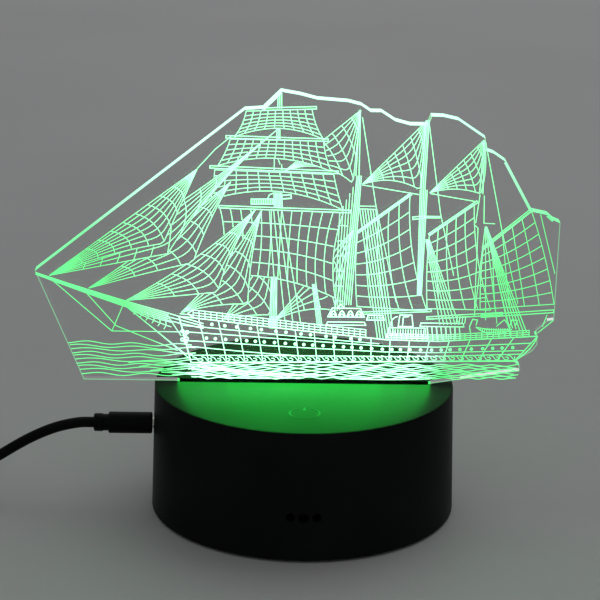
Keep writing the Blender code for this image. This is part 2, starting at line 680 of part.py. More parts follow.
def led_wires():
    """Four wires from the light strip's rear edge to the control board beside the jack."""
    for number, finish in enumerate((WIRE_RED, WIRE_GREEN, WIRE_BLUE, WIRE_BLACK), 1):
        strip_x, board_x = -0.0300 + 0.0022 * number, -0.0284 - 0.0020 * number
        lane_y = 0.0098 + 0.0012 * number
        route = [
            (strip_x, 0.0080, LED_BOARD_Z - GAP), (strip_x, 0.0092, LED_BOARD_Z - 0.0010),
            (strip_x - 0.0010, lane_y, 0.0235), (board_x + 0.0010, lane_y, 0.0228),
            (board_x, 0.0078, 0.0226), (board_x, 0.0055, CONTROL_BOARD_TOP_Z + GAP),
        ]
        tube(f"led_wire_{number}", smooth_path(route, 3), WIRE_RADIUS, finish)


def battery_wires():
    (red_x, red_y), (black_x, black_y) = WIRE_WAYS
    red = [(red_x, red_y, 0.0146), (red_x, red_y, 0.0170), (red_x, red_y, CONTROL_BOARD_Z - GAP)]
    black = [
        (black_x, black_y, 0.0146), (black_x, black_y, 0.0180), (0.0256, -0.0200, 0.0206),
        (0.0230, -0.0176, 0.0224), (0.0175, -0.0152, 0.0232), (0.0129, -0.0134, 0.0226),
        (0.0119, -0.0130, CONTROL_BOARD_TOP_Z + GAP),
    ]
    tube("battery_wire_red", smooth_path(red, 3), WIRE_RADIUS, WIRE_RED)
    tube("battery_wire_black", smooth_path(black, 3), WIRE_RADIUS, WIRE_BLACK)


# Power plug, cable, coil and far plug. All hang from one empty on the plug's own axis

def lying_along_x(made, x):
    """Turns a piece made about Z so that its Z runs towards -X from x, on the jack's axis."""
    made.rotation_euler = (0, -pi / 2, 0)
    made.location = (x, 0, JACK_Z)
    return made


def plug_sleeve():
    tip = -SLEEVE_LENGTH + GAP
    profile = [(0.0, 0.0), (SLEEVE_RADIUS, 0.0), (SLEEVE_RADIUS, tip + 0.0003), (SLEEVE_RADIUS - 0.0003, tip),
               (SLEEVE_BORE, tip), (SLEEVE_BORE, -0.0006), (0.0, -0.0006)]
    return lying_along_x(turned("plug_sleeve", profile, NICKEL, steps=32), GRIP_FACE_X + GAP)


def plug_grip():
    end, neck = GRIP_LENGTH + NECK_LENGTH, GRIP_LENGTH
    edge = 0.0003
    profile = [
        (0.0, end), (NECK_RADIUS - edge, end), (NECK_RADIUS, end - edge), (NECK_RADIUS, neck + NECK_GROOVE),
        (NECK_GROOVE_RADIUS, neck + NECK_GROOVE - edge), (NECK_GROOVE_RADIUS, neck),
        (GRIP_RADIUS - edge, neck), (GRIP_RADIUS, neck - edge), (GRIP_RADIUS, edge),
        (GRIP_RADIUS - edge, 0.0), (0.0, 0.0),
    ]
    return lying_along_x(turned("plug_grip", profile, BLACK_PVC, steps=40), GRIP_FACE_X)


def cable():
    tube("cable_tube", smooth_path(CABLE_ROUTE, 2), CABLE_RADIUS, BLACK_PVC)
    end_y, end_z = USB_NECK_Y - GAP, USB_BODY.z / 2 + GAP
    tail = [(TAIL_X, TAIL_START_Y, TAIL_Z), (TAIL_X, TAIL_START_Y + 0.0020, TAIL_Z - 0.0008),
            (TAIL_X, end_y - 0.0015, end_z), (TAIL_X, end_y, end_z)]
    tube("cable_tail", smooth_path(tail, 2), CABLE_RADIUS, BLACK_PVC)
    coil = turned("cable_coil", [
        (COIL_OUTER_RADIUS - 0.001, COIL_HIGH_Z), (COIL_OUTER_RADIUS, COIL_HIGH_Z - 0.001),
        (COIL_OUTER_RADIUS, COIL_LOW_Z + 0.001), (COIL_OUTER_RADIUS - 0.001, COIL_LOW_Z),
        (COIL_INNER_RADIUS + 0.001, COIL_LOW_Z), (COIL_INNER_RADIUS, COIL_LOW_Z + 0.001),
        (COIL_INNER_RADIUS, COIL_HIGH_Z - 0.001), (COIL_INNER_RADIUS + 0.001, COIL_HIGH_Z),
    ], BLACK_PVC, steps=48, closed=True)
    coil.location = COIL_CENTRE


def cable_tie():
    """A flat band round the coil's turns, on the side away from the lamp's front."""
    x, y = COIL_CENTRE.x, COIL_CENTRE.y
    inner_y, outer_y = y + COIL_INNER_RADIUS - 0.0007, y + COIL_OUTER_RADIUS + GAP
    low_z, high_z = COIL_LOW_Z - GAP, COIL_HIGH_Z + GAP
    t = TIE_THICKNESS
    tie = box("cable_tie", (x - TIE_HALF_WIDTH, inner_y - t, low_z - t),
              (x + TIE_HALF_WIDTH, outer_y + t, high_z + t), RUBBER)
    return cut(tie, box("tie_inside", (x - 2 * TIE_HALF_WIDTH, inner_y, low_z),
                        (x + 2 * TIE_HALF_WIDTH, outer_y, high_z)))


def usb_plug():
    axis_z = USB_BODY.z / 2 + GAP
    body_y = USB_NECK_Y + USB_NECK_LENGTH
    front_y = body_y + USB_BODY.y
    body = box("usb_plug_body", (TAIL_X - USB_BODY.x / 2, body_y, axis_z - USB_BODY.z / 2),
               (TAIL_X + USB_BODY.x / 2, front_y, axis_z + USB_BODY.z / 2), BLACK_PVC)
    join(soften(body, 0.0012), rod("usb_neck", USB_NECK_RADIUS, (TAIL_X, USB_NECK_Y, axis_z),
                                   (TAIL_X, body_y + GAP, axis_z), segments=24))
    half, start = USB_SHELL / 2, front_y + GAP
    shell = box("usb_plug_shell", (TAIL_X - half.x, start, axis_z - half.z),
                (TAIL_X + half.x, start + USB_SHELL.y, axis_z + half.z), NICKEL)
    wall = USB_SHELL_WALL
    cut(shell, box("usb_mouth", (TAIL_X - half.x + wall, start + 2 * wall, axis_z - half.z + wall),
                   (TAIL_X + half.x - wall, start + 2 * USB_SHELL.y, axis_z + half.z - wall)))
    return join(shell, box("usb_tongue", (TAIL_X - half.x + wall, start + wall, axis_z),
                           (TAIL_X + half.x - wall, start + USB_SHELL.y - wall, axis_z + 0.0018)))


def hang_cable_from_plug():
    """The plug, the cable and all that is on it move as one when the plug is pulled out."""
    axis = bpy.data.objects.new("power_cable_axis", None)
    axis.location = (GRIP_FACE_X, 0, JACK_Z)
    LAMP.objects.link(axis)
    bpy.context.view_layer.update()
    for name in ("plug_sleeve", "plug_grip", "cable_tube", "cable_coil", "cable_tail", "cable_tie",
                 "usb_plug_body", "usb_plug_shell"):
        piece = bpy.data.objects[name]
        piece.parent = axis
        piece.matrix_parent_inverse = axis.matrix_world.inverted()


def build():
    top_shell()
    bottom_cover()
    battery_door()
    case_screws()
    feet()
    acrylic_panel()
    led_board()
    led_chips()
    led_board_screws()
    control_board()
    control_board_screws()
    control_chip()
    transistors()
    capacitor()
    touch_spring()
    ir_receiver()
    power_jack()
    battery_plates()
    battery_springs()
    led_wires()
    battery_wires()
    plug_sleeve()
    plug_grip()
    cable()
    cable_tie()
    usb_plug()
    hang_cable_from_plug()


build()
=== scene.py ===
# %% [markdown]
# # An edge-lit night lamp
# A clear acrylic panel stands in the slot of a round black base. Lights hidden under the slot
# shine up inside the panel, and wherever its surface is engraved, or cut, the light gets out.
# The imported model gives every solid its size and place. This script adds what makes the lamp
# look real: the engraving, the lit edges, the cable and the finishes. Lengths are in metres.

# %% Load the frame
import json
from math import cos, pi, radians, sin

import bmesh
import bpy
from mathutils import Matrix, Vector


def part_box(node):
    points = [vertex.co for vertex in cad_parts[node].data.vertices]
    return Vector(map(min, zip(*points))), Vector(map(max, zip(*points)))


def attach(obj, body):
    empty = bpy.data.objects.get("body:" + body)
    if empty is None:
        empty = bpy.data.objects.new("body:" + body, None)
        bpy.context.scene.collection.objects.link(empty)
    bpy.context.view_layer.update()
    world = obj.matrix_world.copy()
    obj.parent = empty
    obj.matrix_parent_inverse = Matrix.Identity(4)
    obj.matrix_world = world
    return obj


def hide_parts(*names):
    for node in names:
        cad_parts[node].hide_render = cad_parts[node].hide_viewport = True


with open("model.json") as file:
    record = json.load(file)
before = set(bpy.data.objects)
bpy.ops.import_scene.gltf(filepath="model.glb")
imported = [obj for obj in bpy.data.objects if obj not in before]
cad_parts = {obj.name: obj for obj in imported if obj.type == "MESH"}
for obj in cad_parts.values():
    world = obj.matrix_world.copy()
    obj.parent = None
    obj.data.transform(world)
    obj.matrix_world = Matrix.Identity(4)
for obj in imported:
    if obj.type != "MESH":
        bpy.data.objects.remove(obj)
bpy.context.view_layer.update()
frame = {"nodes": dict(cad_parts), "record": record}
record = frame["record"]

# %% [markdown]
# ## Camera
# A camera can be placed by angles, as a photographer would say it: so far from the subject, so
# many degrees above it, so many round it. The last angle is the roll, a slight tilt of the
# camera about its own line of sight. `to_track_quat` turns the line of sight into a rotation.

# %% Place the camera
AIM = Vector((-0.00148, 0.0, 0.06165))
DISTANCE = 0.650
ELEVATION = radians(17.52)
AROUND = radians(-0.57)
ROLL = radians(0.89)

back = Vector((sin(AROUND) * cos(ELEVATION), -cos(AROUND) * cos(ELEVATION), sin(ELEVATION)))
camera = bpy.data.objects.new("camera", bpy.data.cameras.new("camera"))
camera.data.lens = 137.9
camera.data.sensor_width = 36.0
camera.data.clip_start = 0.01
camera.rotation_mode = "QUATERNION"
camera.matrix_world = (Matrix.Translation(AIM + back * DISTANCE)
                       @ (-back).to_track_quat("-Z", "Y").to_matrix().to_4x4()
                       @ Matrix.Rotation(ROLL, 4, "Z"))
bpy.context.scene.collection.objects.link(camera)
bpy.context.scene.camera = camera
bpy.context.scene.view_settings.view_transform = "Standard"

# %% [markdown]
# ## Node materials
# Every finish here is a Principled shader whose colour, roughness and bump come from noise
# patterns, because no real surface is the same all over. Two small helpers keep the recipes
# short: one adds a node and fills in its sockets, the other starts a material.

# %% Material helpers
def add_node(tree, kind, **inputs):
    node = tree.nodes.new(kind)
    for name, value in inputs.items():
        socket = node.inputs[name.replace("_", " ")]
        if isinstance(value, bpy.types.NodeSocket):
            tree.links.new(value, socket)
        else:
            socket.default_value = value
    return node


def new_finish(name, colour, roughness, **sockets):
    """A Principled material. Returns the material, its node tree and its shader."""
    made = bpy.data.materials.new(name)
    made.use_nodes = True
    shader = made.node_tree.nodes["Principled BSDF"]
    shader.inputs["Base Color"].default_value = (*colour, 1.0)
    shader.inputs["Roughness"].default_value = roughness
    for socket, value in sockets.items():
        shader.inputs[socket.replace("_", " ")].default_value = value
    return made, made.node_tree, shader


def pattern(tree, scale, detail=3.0):
    """Noise on the object's own coordinates, so that it stays on the piece as it moves."""
    place = tree.nodes.new("ShaderNodeTexCoord")
    return add_node(tree, "ShaderNodeTexNoise", Vector=place.outputs["Object"], Scale=scale,
                    Detail=detail).outputs["Fac"]


def between(tree, share, low, high, from_low=0.35, from_high=0.65):
    """Turns a pattern into a number between low and high."""
    return add_node(tree, "ShaderNodeMapRange", Value=share, From_Min=from_low,
                    From_Max=from_high, To_Min=low, To_Max=high).outputs["Result"]


def shade(tree, share, dark, light):
    """Turns a pattern into a colour between dark and light."""
    ramp = tree.nodes.new("ShaderNodeValToRGB")
    ramp.color_ramp.elements[0].color = (*dark, 1.0)
    ramp.color_ramp.elements[1].color = (*light, 1.0)
    ramp.color_ramp.elements[0].position = 0.3
    ramp.color_ramp.elements[1].position = 0.7
    tree.links.new(share, ramp.inputs["Fac"])
    return ramp.outputs["Color"]


def add_bump(tree, shader, height, strength, distance):
    bump = add_node(tree, "ShaderNodeBump", Height=height, Strength=strength, Distance=distance)
    tree.links.new(bump.outputs["Normal"], shader.inputs["Normal"])


def grained(name, dark, light, rough_low, rough_high, grain, depth, patch=40.0, **sockets):
    """A finish with slow changes of tone and polish, and a fine grain in its surface."""
    made, tree, shader = new_finish(name, light, rough_high, **sockets)
    slow = pattern(tree, patch)
    tree.links.new(shade(tree, slow, dark, light), shader.inputs["Base Color"])
    tree.links.new(between(tree, slow, rough_low, rough_high), shader.inputs["Roughness"])
    add_bump(tree, shader, pattern(tree, grain, 2.0), 0.25, depth)
    return made


# %% [markdown]
# ## The finishes of the solid pieces
# Moulded plastic has a grain that the tool's spark-eroded surface leaves in it, a few tenths of
# a millimetre across. Rubber is rougher, plated metal is smooth with faint drawing lines, and
# printed circuit boards are a glossy lacquer over glass cloth, whose weave shows as a bump.

# %% Finishes
finishes = {
    "abs_black": grained("abs_black", (0.0064, 0.0076, 0.0070), (0.0098, 0.0114, 0.0106), 0.34,
                         0.42, 2600.0, 0.00002, Specular_IOR_Level=0.026),
    "pvc_black": grained("pvc_black", (0.0026, 0.0028, 0.0030), (0.0048, 0.0050, 0.0052), 0.40,
                         0.50, 1800.0, 0.00002, Specular_IOR_Level=0.07),
    "rubber_black": grained("rubber_black", (0.014, 0.014, 0.014), (0.024, 0.024, 0.023), 0.80,
                            0.92, 1500.0, 0.00003),
    "epoxy_black": grained("epoxy_black", (0.010, 0.010, 0.012), (0.020, 0.020, 0.023), 0.35,
                           0.50, 2400.0, 0.00001),
    "led_white": grained("led_white", (0.70, 0.75, 0.62), (0.88, 0.90, 0.84), 0.30, 0.42, 900.0,
                         0.00001),
    "can_blue": grained("can_blue", (0.012, 0.020, 0.050), (0.022, 0.034, 0.080), 0.22, 0.32,
                        700.0, 0.00001),
    "wire_red": grained("wire_red", (0.36, 0.012, 0.012), (0.50, 0.025, 0.022), 0.38, 0.50,
                        1200.0, 0.00001),
    "wire_green": grained("wire_green", (0.012, 0.24, 0.040), (0.025, 0.34, 0.060), 0.38, 0.50,
                          1200.0, 0.00001),
    "wire_blue": grained("wire_blue", (0.014, 0.040, 0.36), (0.026, 0.060, 0.50), 0.38, 0.50,
                         1200.0, 0.00001),
    "wire_black": grained("wire_black", (0.014, 0.014, 0.014), (0.024, 0.024, 0.024), 0.38, 0.50,
                          1200.0, 0.00001),
    "nickel": grained("nickel", (0.56, 0.54, 0.50), (0.68, 0.67, 0.64), 0.18, 0.30, 3000.0,
                      0.000005, Metallic=1.0),
    "tinplate": grained("tinplate", (0.42, 0.42, 0.41), (0.56, 0.56, 0.55), 0.26, 0.40, 2200.0,
                        0.000008, Metallic=1.0),
}


def circuit_board(name, dark, light):
    """Lacquer over glass cloth: two crossed waves give the weave."""
    made, tree, shader = new_finish(name, light, 0.32)
    slow = pattern(tree, 60.0)
    tree.links.new(shade(tree, slow, dark, light), shader.inputs["Base Color"])
    place = tree.nodes.new("ShaderNodeTexCoord")
    waves = []
    for direction in ("X", "Y"):
        wave = add_node(tree, "ShaderNodeTexWave", Vector=place.outputs["Object"], Scale=400.0)
        wave.bands_direction = direction
        waves.append(wave.outputs["Fac"])
    weave = tree.nodes.new("ShaderNodeMath")
    weave.operation = "MAXIMUM"
    for socket, wave in zip(weave.inputs, waves):
        tree.links.new(wave, socket)
    add_bump(tree, shader, weave.outputs["Value"], 0.2, 0.00002)
    return made


finishes["board_green"] = circuit_board("board_green", (0.010, 0.085, 0.030), (0.024, 0.130, 0.050))
finishes["board_white"] = circuit_board("board_white", (0.68, 0.68, 0.65), (0.80, 0.80, 0.77))

# %% [markdown]
# ## Clear acrylic
# Acrylic is glass to Blender: full transmission and an index of refraction of 1.49. Shadow rays
# can't bend, so real glass would throw a black shadow. The usual cure is to let shadow rays
# pass straight through, with a Transparent shader chosen by the Light Path node. The specular
# tint turns the panel's reflections down, because at full strength they leave mottled noise
# round the hair-thin bright lines.

# %% Clear acrylic
def clear_acrylic():
    made, tree, shader = new_finish("clear_acrylic", (0.975, 0.99, 0.98), 0.0, IOR=1.49,
                                    Transmission_Weight=1.0, Specular_Tint=(0.2, 0.2, 0.2, 1.0))
    add_bump(tree, shader, pattern(tree, 30.0, 1.0), 0.02, 0.00002)
    see_through = tree.nodes.new("ShaderNodeBsdfTransparent")
    path = tree.nodes.new("ShaderNodeLightPath")
    mix = tree.nodes.new("ShaderNodeMixShader")
    tree.links.new(path.outputs["Is Shadow Ray"], mix.inputs[0])
    tree.links.new(shader.outputs[0], mix.inputs[1])
    tree.links.new(see_through.outputs[0], mix.inputs[2])
    tree.links.new(mix.outputs[0], tree.nodes["Material Output"].inputs["Surface"])
    return made


finishes["clear_acrylic"] = clear_acrylic()

# %% [markdown]
# ## Light that gets out of the panel
# The lights in the base send a fan of green light up inside the panel. A cut inside the fan is
# so bright that it looks almost white, and one beside the fan only gets stray light and stays
# green. How far outside the fan a point lies is its distance past the end of the light strip,
# divided by its height over the strip, so the material works that out from the object's own
# coordinates and blends two colours by it.

# %% Lit cuts
STRIP_END = 0.031
STRIP_Z = 0.026
FAN_EDGE = 0.56


def lit(name, in_fan, beside, strength):
    """A glow that turns from one colour to the other at the side of the fan of light."""
    made, tree, shader = new_finish(name, (0.25, 0.6, 0.35), 0.5, Emission_Strength=strength)
    place = tree.nodes.new("ShaderNodeTexCoord")
    split = add_node(tree, "ShaderNodeSeparateXYZ", Vector=place.outputs["Object"])

    def math(operation, a, b=0.0):
        node = tree.nodes.new("ShaderNodeMath")
        node.operation = operation
        for socket, value in zip(node.inputs, (a, b)):
            if isinstance(value, bpy.types.NodeSocket):
                tree.links.new(value, socket)
            else:
                socket.default_value = value
        return node.outputs["Value"]

    past_end = math("SUBTRACT", math("ABSOLUTE", split.outputs["X"]), STRIP_END)
    lean = math("DIVIDE", math("MAXIMUM", past_end, 0.0),
                math("SUBTRACT", split.outputs["Z"], STRIP_Z))
    share = between(tree, lean, 1.0, 0.0, 0.0, FAN_EDGE)
    glow = tree.nodes.new("ShaderNodeMix")
    glow.data_type = "RGBA"
    tree.links.new(share, glow.inputs["Factor"])
    # A Mix node has sockets of one name for each data type: 6 and 7 are its two colours
    glow.inputs[6].default_value = (*beside, 1.0)
    glow.inputs[7].default_value = (*in_fan, 1.0)
    tree.links.new(glow.outputs[2], shader.inputs["Emission Color"])
    return made


lit_lines = lit("lit_lines", (0.25, 1.0, 0.40), (0.046, 0.44, 0.10), 2.8)
lit_hull = lit("lit_hull", (0.36, 1.0, 0.54), (0.046, 0.42, 0.10), 3.2)
lit_cut = lit("lit_cut", (0.50, 1.0, 0.72), (0.10, 0.60, 0.20), 1.6)
faint_cut = lit("faint_cut", (0.24, 0.50, 0.30), (0.15, 0.32, 0.18), 1.1)

# %% [markdown]
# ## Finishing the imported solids
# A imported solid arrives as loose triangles, which shade flat. For pieces that show, a copy is
# welded, and its round faces are shaded smooth up to a crease angle. The copy then stands for
# the solid.

# %% Smooth copies
CREASE = radians(30.0)


def smooth_copy(node, name, slot):
    """A welded copy of a node, smooth wherever its faces meet at less than the crease angle."""
    mesh = frame["nodes"][node].data.copy()
    mesh.name = name
    bm = bmesh.new()
    bm.from_mesh(mesh)
    bmesh.ops.remove_doubles(bm, verts=bm.verts, dist=1e-6)
    bmesh.ops.dissolve_limit(bm, angle_limit=radians(0.5), verts=bm.verts, edges=bm.edges)
    for face in bm.faces:
        face.smooth = True
    for edge in bm.edges:
        if len(edge.link_faces) == 2:
            edge.smooth = edge.calc_face_angle() < CREASE
    bm.to_mesh(mesh)
    bm.free()
    piece = bpy.data.objects.new(name, mesh)
    bpy.context.scene.collection.objects.link(piece)
    mesh.materials.clear()
    mesh.materials.append(finishes[slot])
    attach(piece, next(b for b, nodes in record["behaviour"]["bodies"].items() if node in nodes))
    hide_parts(node)
    return piece


for entry in record["subparts"]:
    plain = frame["nodes"][entry["node"]].data
    plain.materials.clear()
    plain.materials.append(finishes[entry["material_slot"]])

housing = smooth_copy("top_shell", "housing", "abs_black")
plug_grip = smooth_copy("plug_grip", "plug_grip_smooth", "pvc_black")
plug_metal = smooth_copy("plug_sleeve", "plug_metal", "nickel")
usb_body = smooth_copy("usb_plug_body", "usb_body_smooth", "pvc_black")
usb_shell = smooth_copy("usb_plug_shell", "usb_shell_smooth", "nickel")

# %% [markdown]
# ## The touch key
# The key is only a mark in the top: a ring that is open at the back, with a short bar in the
# opening. It is a shallow bead of the same plastic. A bead is a line of vertices spun round
# the key's centre, so the spin stops short of a full turn and leaves the opening.

# %% Touch key
TOP_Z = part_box("top_shell")[1].z
KEY = Vector((0.0, -0.0270, TOP_Z))
KEY_RADIUS = 0.0041
BEAD = 0.00028
BEAD_HEIGHT = 0.00008
KEY_OPENING = radians(50)


def put_on_base(name, bm, slot):
    bmesh.ops.recalc_face_normals(bm, faces=bm.faces)
    mesh = bpy.data.meshes.new(name)
    bm.to_mesh(mesh)
    bm.free()
    piece = bpy.data.objects.new(name, mesh)
    bpy.context.scene.collection.objects.link(piece)
    mesh.materials.append(finishes[slot])
    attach(piece, "base")
    return piece


def bead_section(bm, at):
    """The bead's cross-section, a low arch with its feet a little under the surface."""
    shape = [(-BEAD, -0.0001), (-BEAD, 0.0), (-BEAD / 2, BEAD_HEIGHT), (BEAD / 2, BEAD_HEIGHT),
             (BEAD, 0.0), (BEAD, -0.0001)]
    return bm.faces.new([bm.verts.new(at + Vector((x, 0.0, z))) for x, z in shape])


bm = bmesh.new()
face = bead_section(bm, KEY + Vector((KEY_RADIUS, 0, 0)))
bmesh.ops.rotate(bm, verts=face.verts, cent=KEY,
                 matrix=Matrix.Rotation(pi / 2 + KEY_OPENING / 2, 3, "Z"))
bmesh.ops.spin(bm, geom=[face, *face.edges, *face.verts], cent=KEY, axis=(0, 0, 1),
               angle=2 * pi - KEY_OPENING, steps=64)
bar = bead_section(bm, KEY + Vector((0, 0.0019, 0)))
pushed = bmesh.ops.extrude_face_region(bm, geom=[bar])
bmesh.ops.translate(bm, vec=(0, KEY_RADIUS - 0.0015, 0),
                    verts=[g for g in pushed["geom"] if isinstance(g, bmesh.types.BMVert)])
touch_mark = put_on_base("touch_mark", bm, "abs_black")

# %% [markdown]
# ## The cable
# The cable is one curve: a free stretch that leaves the plug, sinks to the table and runs off
# to the left, then a flat coil, then a short tail to the far plug. The free stretches are short
# lists of points, and the coil's turns come from a loop. A Bezier curve would smooth the points,
# but a dense poly curve through a Catmull-Rom path keeps its length easy to measure.

# %% Cable route
CABLE_RADIUS = 0.00155
FREE_ROUTE = [
    (-0.06012, 0.0, 0.0241), (-0.0645, 0.0, 0.02395), (-0.0703, 0.0, 0.02265),
    (-0.0757, 0.0, 0.0205), (-0.0810, 0.0, 0.0177), (-0.0874, -0.0001, 0.0137),
    (-0.0940, -0.0004, 0.0096), (-0.1000, -0.0010, 0.0063), (-0.1056, -0.0017, 0.0038),
    (-0.1105, -0.0022, 0.0026), (-0.1150, -0.0026, 0.0025),
]
TAIL_ROUTE = [(-0.1467, 0.0331, 0.0057), (-0.1467, 0.0351, 0.0049), (-0.1467, 0.0372, 0.0041),
              (-0.1467, 0.0389, 0.0041)]
COIL_CENTRE = Vector((-0.1240, 0.0200, 0.0))
COIL_RADII = (0.0227, 0.0196, 0.0165, 0.0134)
LAYER_Z = (0.00255, 0.00570)
TURN_POINTS = 40


def coil_points():
    """Clockwise from above: the lower layer winds inwards and the upper layer back out."""
    turns = len(COIL_RADII)
    total = 2 * turns + 0.25
    points = []
    for i in range(1, round(total * TURN_POINTS) + 1):
        turn = i / TURN_POINTS
        ring = turn if turn < turns else 2 * turns - turn
        place = max(0.0, min(turns - 1.0, ring - 0.5))
        low = int(place)
        share = place - low
        high = min(low + 1, turns - 1)
        radius = COIL_RADII[low] * (1 - share) + COIL_RADII[high] * share
        climb = min(1.0, max(0.0, (turn - turns + 0.25) / 0.5))
        climb = climb * climb * (3 - 2 * climb)
        height = LAYER_Z[0] * (1 - climb) + LAYER_Z[1] * climb
        angle = -pi / 2 - 2 * pi * turn
        points.append(COIL_CENTRE + Vector((radius * cos(angle), radius * sin(angle), height)))
    return points


def smooth_path(route, per_span):
    """Points on a smooth curve that passes through each point of the route."""
    ends = [Vector(p) for p in route]
    ends = [2 * ends[0] - ends[1], *ends, 2 * ends[-1] - ends[-2]]
    points = []
    for a, b, c, d in zip(ends, ends[1:], ends[2:], ends[3:]):
        for step in range(per_span):
            t = step / per_span
            points.append(0.5 * (2 * b + (c - a) * t + (2 * a - 5 * b + 4 * c - d) * t ** 2
                                 + (3 * b - a - 3 * c + d) * t ** 3))
    points.append(ends[-2])
    return points


cable_path = smooth_path(FREE_ROUTE, 4) + coil_points() + smooth_path(TAIL_ROUTE, 4)
cable_length = sum((b - a).length for a, b in zip(cable_path, cable_path[1:]))
print("the cable is", round(cable_length, 3), "m long")

curve = bpy.data.curves.new("cable", "CURVE")
curve.dimensions = "3D"
curve.bevel_depth = CABLE_RADIUS
curve.bevel_resolution = 4
curve.use_fill_caps = True
spline = curve.splines.new("POLY")
spline.points.add(len(cable_path) - 1)
for place, point in zip(spline.points, cable_path):
    place.co = (*point, 1.0)
spline.use_smooth = True
cable = bpy.data.objects.new("cable", curve)
bpy.context.scene.collection.objects.link(cable)
curve.materials.append(finishes["pvc_black"])
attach(cable, "power_cable")
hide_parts("cable_tube", "cable_coil", "cable_tail")

# %% [markdown]
# ## Drawing on the panel
# The engraving is a drawing made of thin lines. Each line starts as a chain of vertices along
# its left side. Every vertex remembers the step to the right side in a custom layer, so one
# extrude of all the edges, followed by that step, turns every chain into a ribbon at once.
# Points are written as (x, z) in millimetres on the panel's front face. A sail hides what is
# behind it, so a line can be given the outlines that cover it, and only its free parts are cut.

# %% Line drawing
MM = 0.001
FRONT_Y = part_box("acrylic_panel")[0].y
GROOVE = 0.0001
THIN, MIDDLE, BOLD = 0.19, 0.24, 0.32


def is_inside(point, shape):
    """True if a ray from the point to the right crosses the outline an odd number of times."""
    inside = False
    for a, b in zip(shape, shape[1:] + shape[:1]):
        if (a.y > point.y) != (b.y > point.y):
            if point.x < a.x + (b.x - a.x) * (point.y - a.y) / (b.y - a.y):
                inside = not inside
    return inside


def free_parts(points, covers, step=0.5):
    """The parts of a line that no outline in front of it covers."""
    if not covers:
        return [points]
    fine = []
    for a, b in zip(points, points[1:]):
        count = max(1, round((b - a).length / step))
        fine += [a.lerp(b, i / count) for i in range(count)]
    parts, part = [], []
    for point in fine + [points[-1]]:
        if any(is_inside(point, cover) for cover in covers):
            parts.append(part)
            part = []
        else:
            part.append(point)
    return [p for p in parts + [part] if len(p) > 1]


class Drawing:
    """A set of lines that ends up as one piece of engraving on the panel."""

    def __init__(self, name):
        self.name = name
        self.bm = bmesh.new()
        self.across = self.bm.verts.layers.float_vector.new("across")

    def line(self, points, width=THIN, closed=False, under=()):
        """Adds a line, without the parts that the outlines in under cover."""
        for part in free_parts([Vector(p) for p in points], under):
            self.chain(part, width, closed)

    def chain(self, points, width, closed):
        """Vertices along the line's side, each with its step across to the other side."""
        chain = []
        for i, point in enumerate(points):
            before = points[i - 1] if i or closed else point
            after = points[(i + 1) % len(points)] if i < len(points) - 1 or closed else point
            ways = [w.normalized() for w in (point - before, after - point) if w.length > 1e-6]
            way = sum(ways, Vector((0, 0)))
            if way.length < 0.2:
                way = ways[0] if ways else Vector((1, 0))
            way.normalize()
            side = Vector((-way.y, way.x)) * width / max(0.6, abs(way.dot(ways[0])) if ways else 1)
            start = point - side / 2
            vert = self.bm.verts.new((start.x * MM, FRONT_Y, start.y * MM))
            vert[self.across] = (side.x * MM, 0.0, side.y * MM)
            chain.append(vert)
        for a, b in list(zip(chain, chain[1:])) + ([(chain[-1], chain[0])] if closed else []):
            self.bm.edges.new((a, b))

    def finish(self, material):
        """Turns the chains into ribbons and puts the piece on the panel."""
        grown = bmesh.ops.extrude_edge_only(self.bm, edges=self.bm.edges[:])["geom"]
        for vert in grown:
            if isinstance(vert, bmesh.types.BMVert):
                vert.co += vert[self.across]
        self.bm.verts.layers.float_vector.remove(self.across)
        mesh = bpy.data.meshes.new(self.name)
        self.bm.to_mesh(mesh)
        self.bm.free()
        piece = bpy.data.objects.new(self.name, mesh)
        bpy.context.scene.collection.objects.link(piece)
        wall = piece.modifiers.new("groove", "SOLIDIFY")
        wall.thickness = GROOVE
        wall.offset = 0.0
        mesh.materials.append(material)
        piece.visible_glossy = False
        piece.visible_diffuse = False
        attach(piece, "panel")
        print(self.name, "has", len(mesh.polygons), "ribbon faces")


def bow(a, b, rise=0.0, steps=10):
    """Points on a shallow arc from a to b, whose middle stands off to the left by rise."""
    a, b = Vector(a), Vector(b)
    way = b - a
    side = Vector((-way.y, way.x)).normalized() * rise
    return [a + way * t + side * 4 * t * (1 - t) for t in (i / steps for i in range(steps + 1))]


def along(points, share):
    """The point at a share of the way along a row of points."""
    place = share * (len(points) - 1)
    low = min(int(place), len(points) - 2)
    return points[low].lerp(points[low + 1], place - low)


# %% [markdown]
# ## Sails
# Each sail is a grid stretched between its edges. A square sail hangs from a yard: its head is
# straight, its foot arches up and its sides curve in. A gaff sail has four corners too, and its
# rows sag. A staysail has three corners: the tack at the front, the head at the top and the
# clew. Its long lines all run from the tack to the head, the first one straight up the stay and
# the last one round by the clew. The lines between are relaxed, a little more with each step
# towards the stay, so that they turn the corner ever more softly.

# %% Sails
sails = Drawing("engraved_sails")


def four_sided(head, foot, left, right, rows, columns, sag=0.0, under=(), steps=12):
    """A grid between four edges. Returns the sail's outline, to hide what is behind it."""
    def at(u, v):
        flat = foot[0].lerp(foot[-1], u).lerp(head[0].lerp(head[-1], u), v)
        hang = Vector((0, -sag * 16 * u * (1 - u) * v * (1 - v)))
        return (along(foot, u).lerp(along(head, u), v) + along(left, v).lerp(along(right, v), u)
                - flat + hang)

    for row in range(rows + 1):
        sails.line([at(i / steps, row / rows) for i in range(steps + 1)], THIN, under=under)
    for column in range(columns + 1):
        sails.line([at(column / columns, i / steps) for i in range(steps + 1)], THIN, under=under)
    return foot + right[1:] + head[::-1][1:] + left[::-1][1:-1]


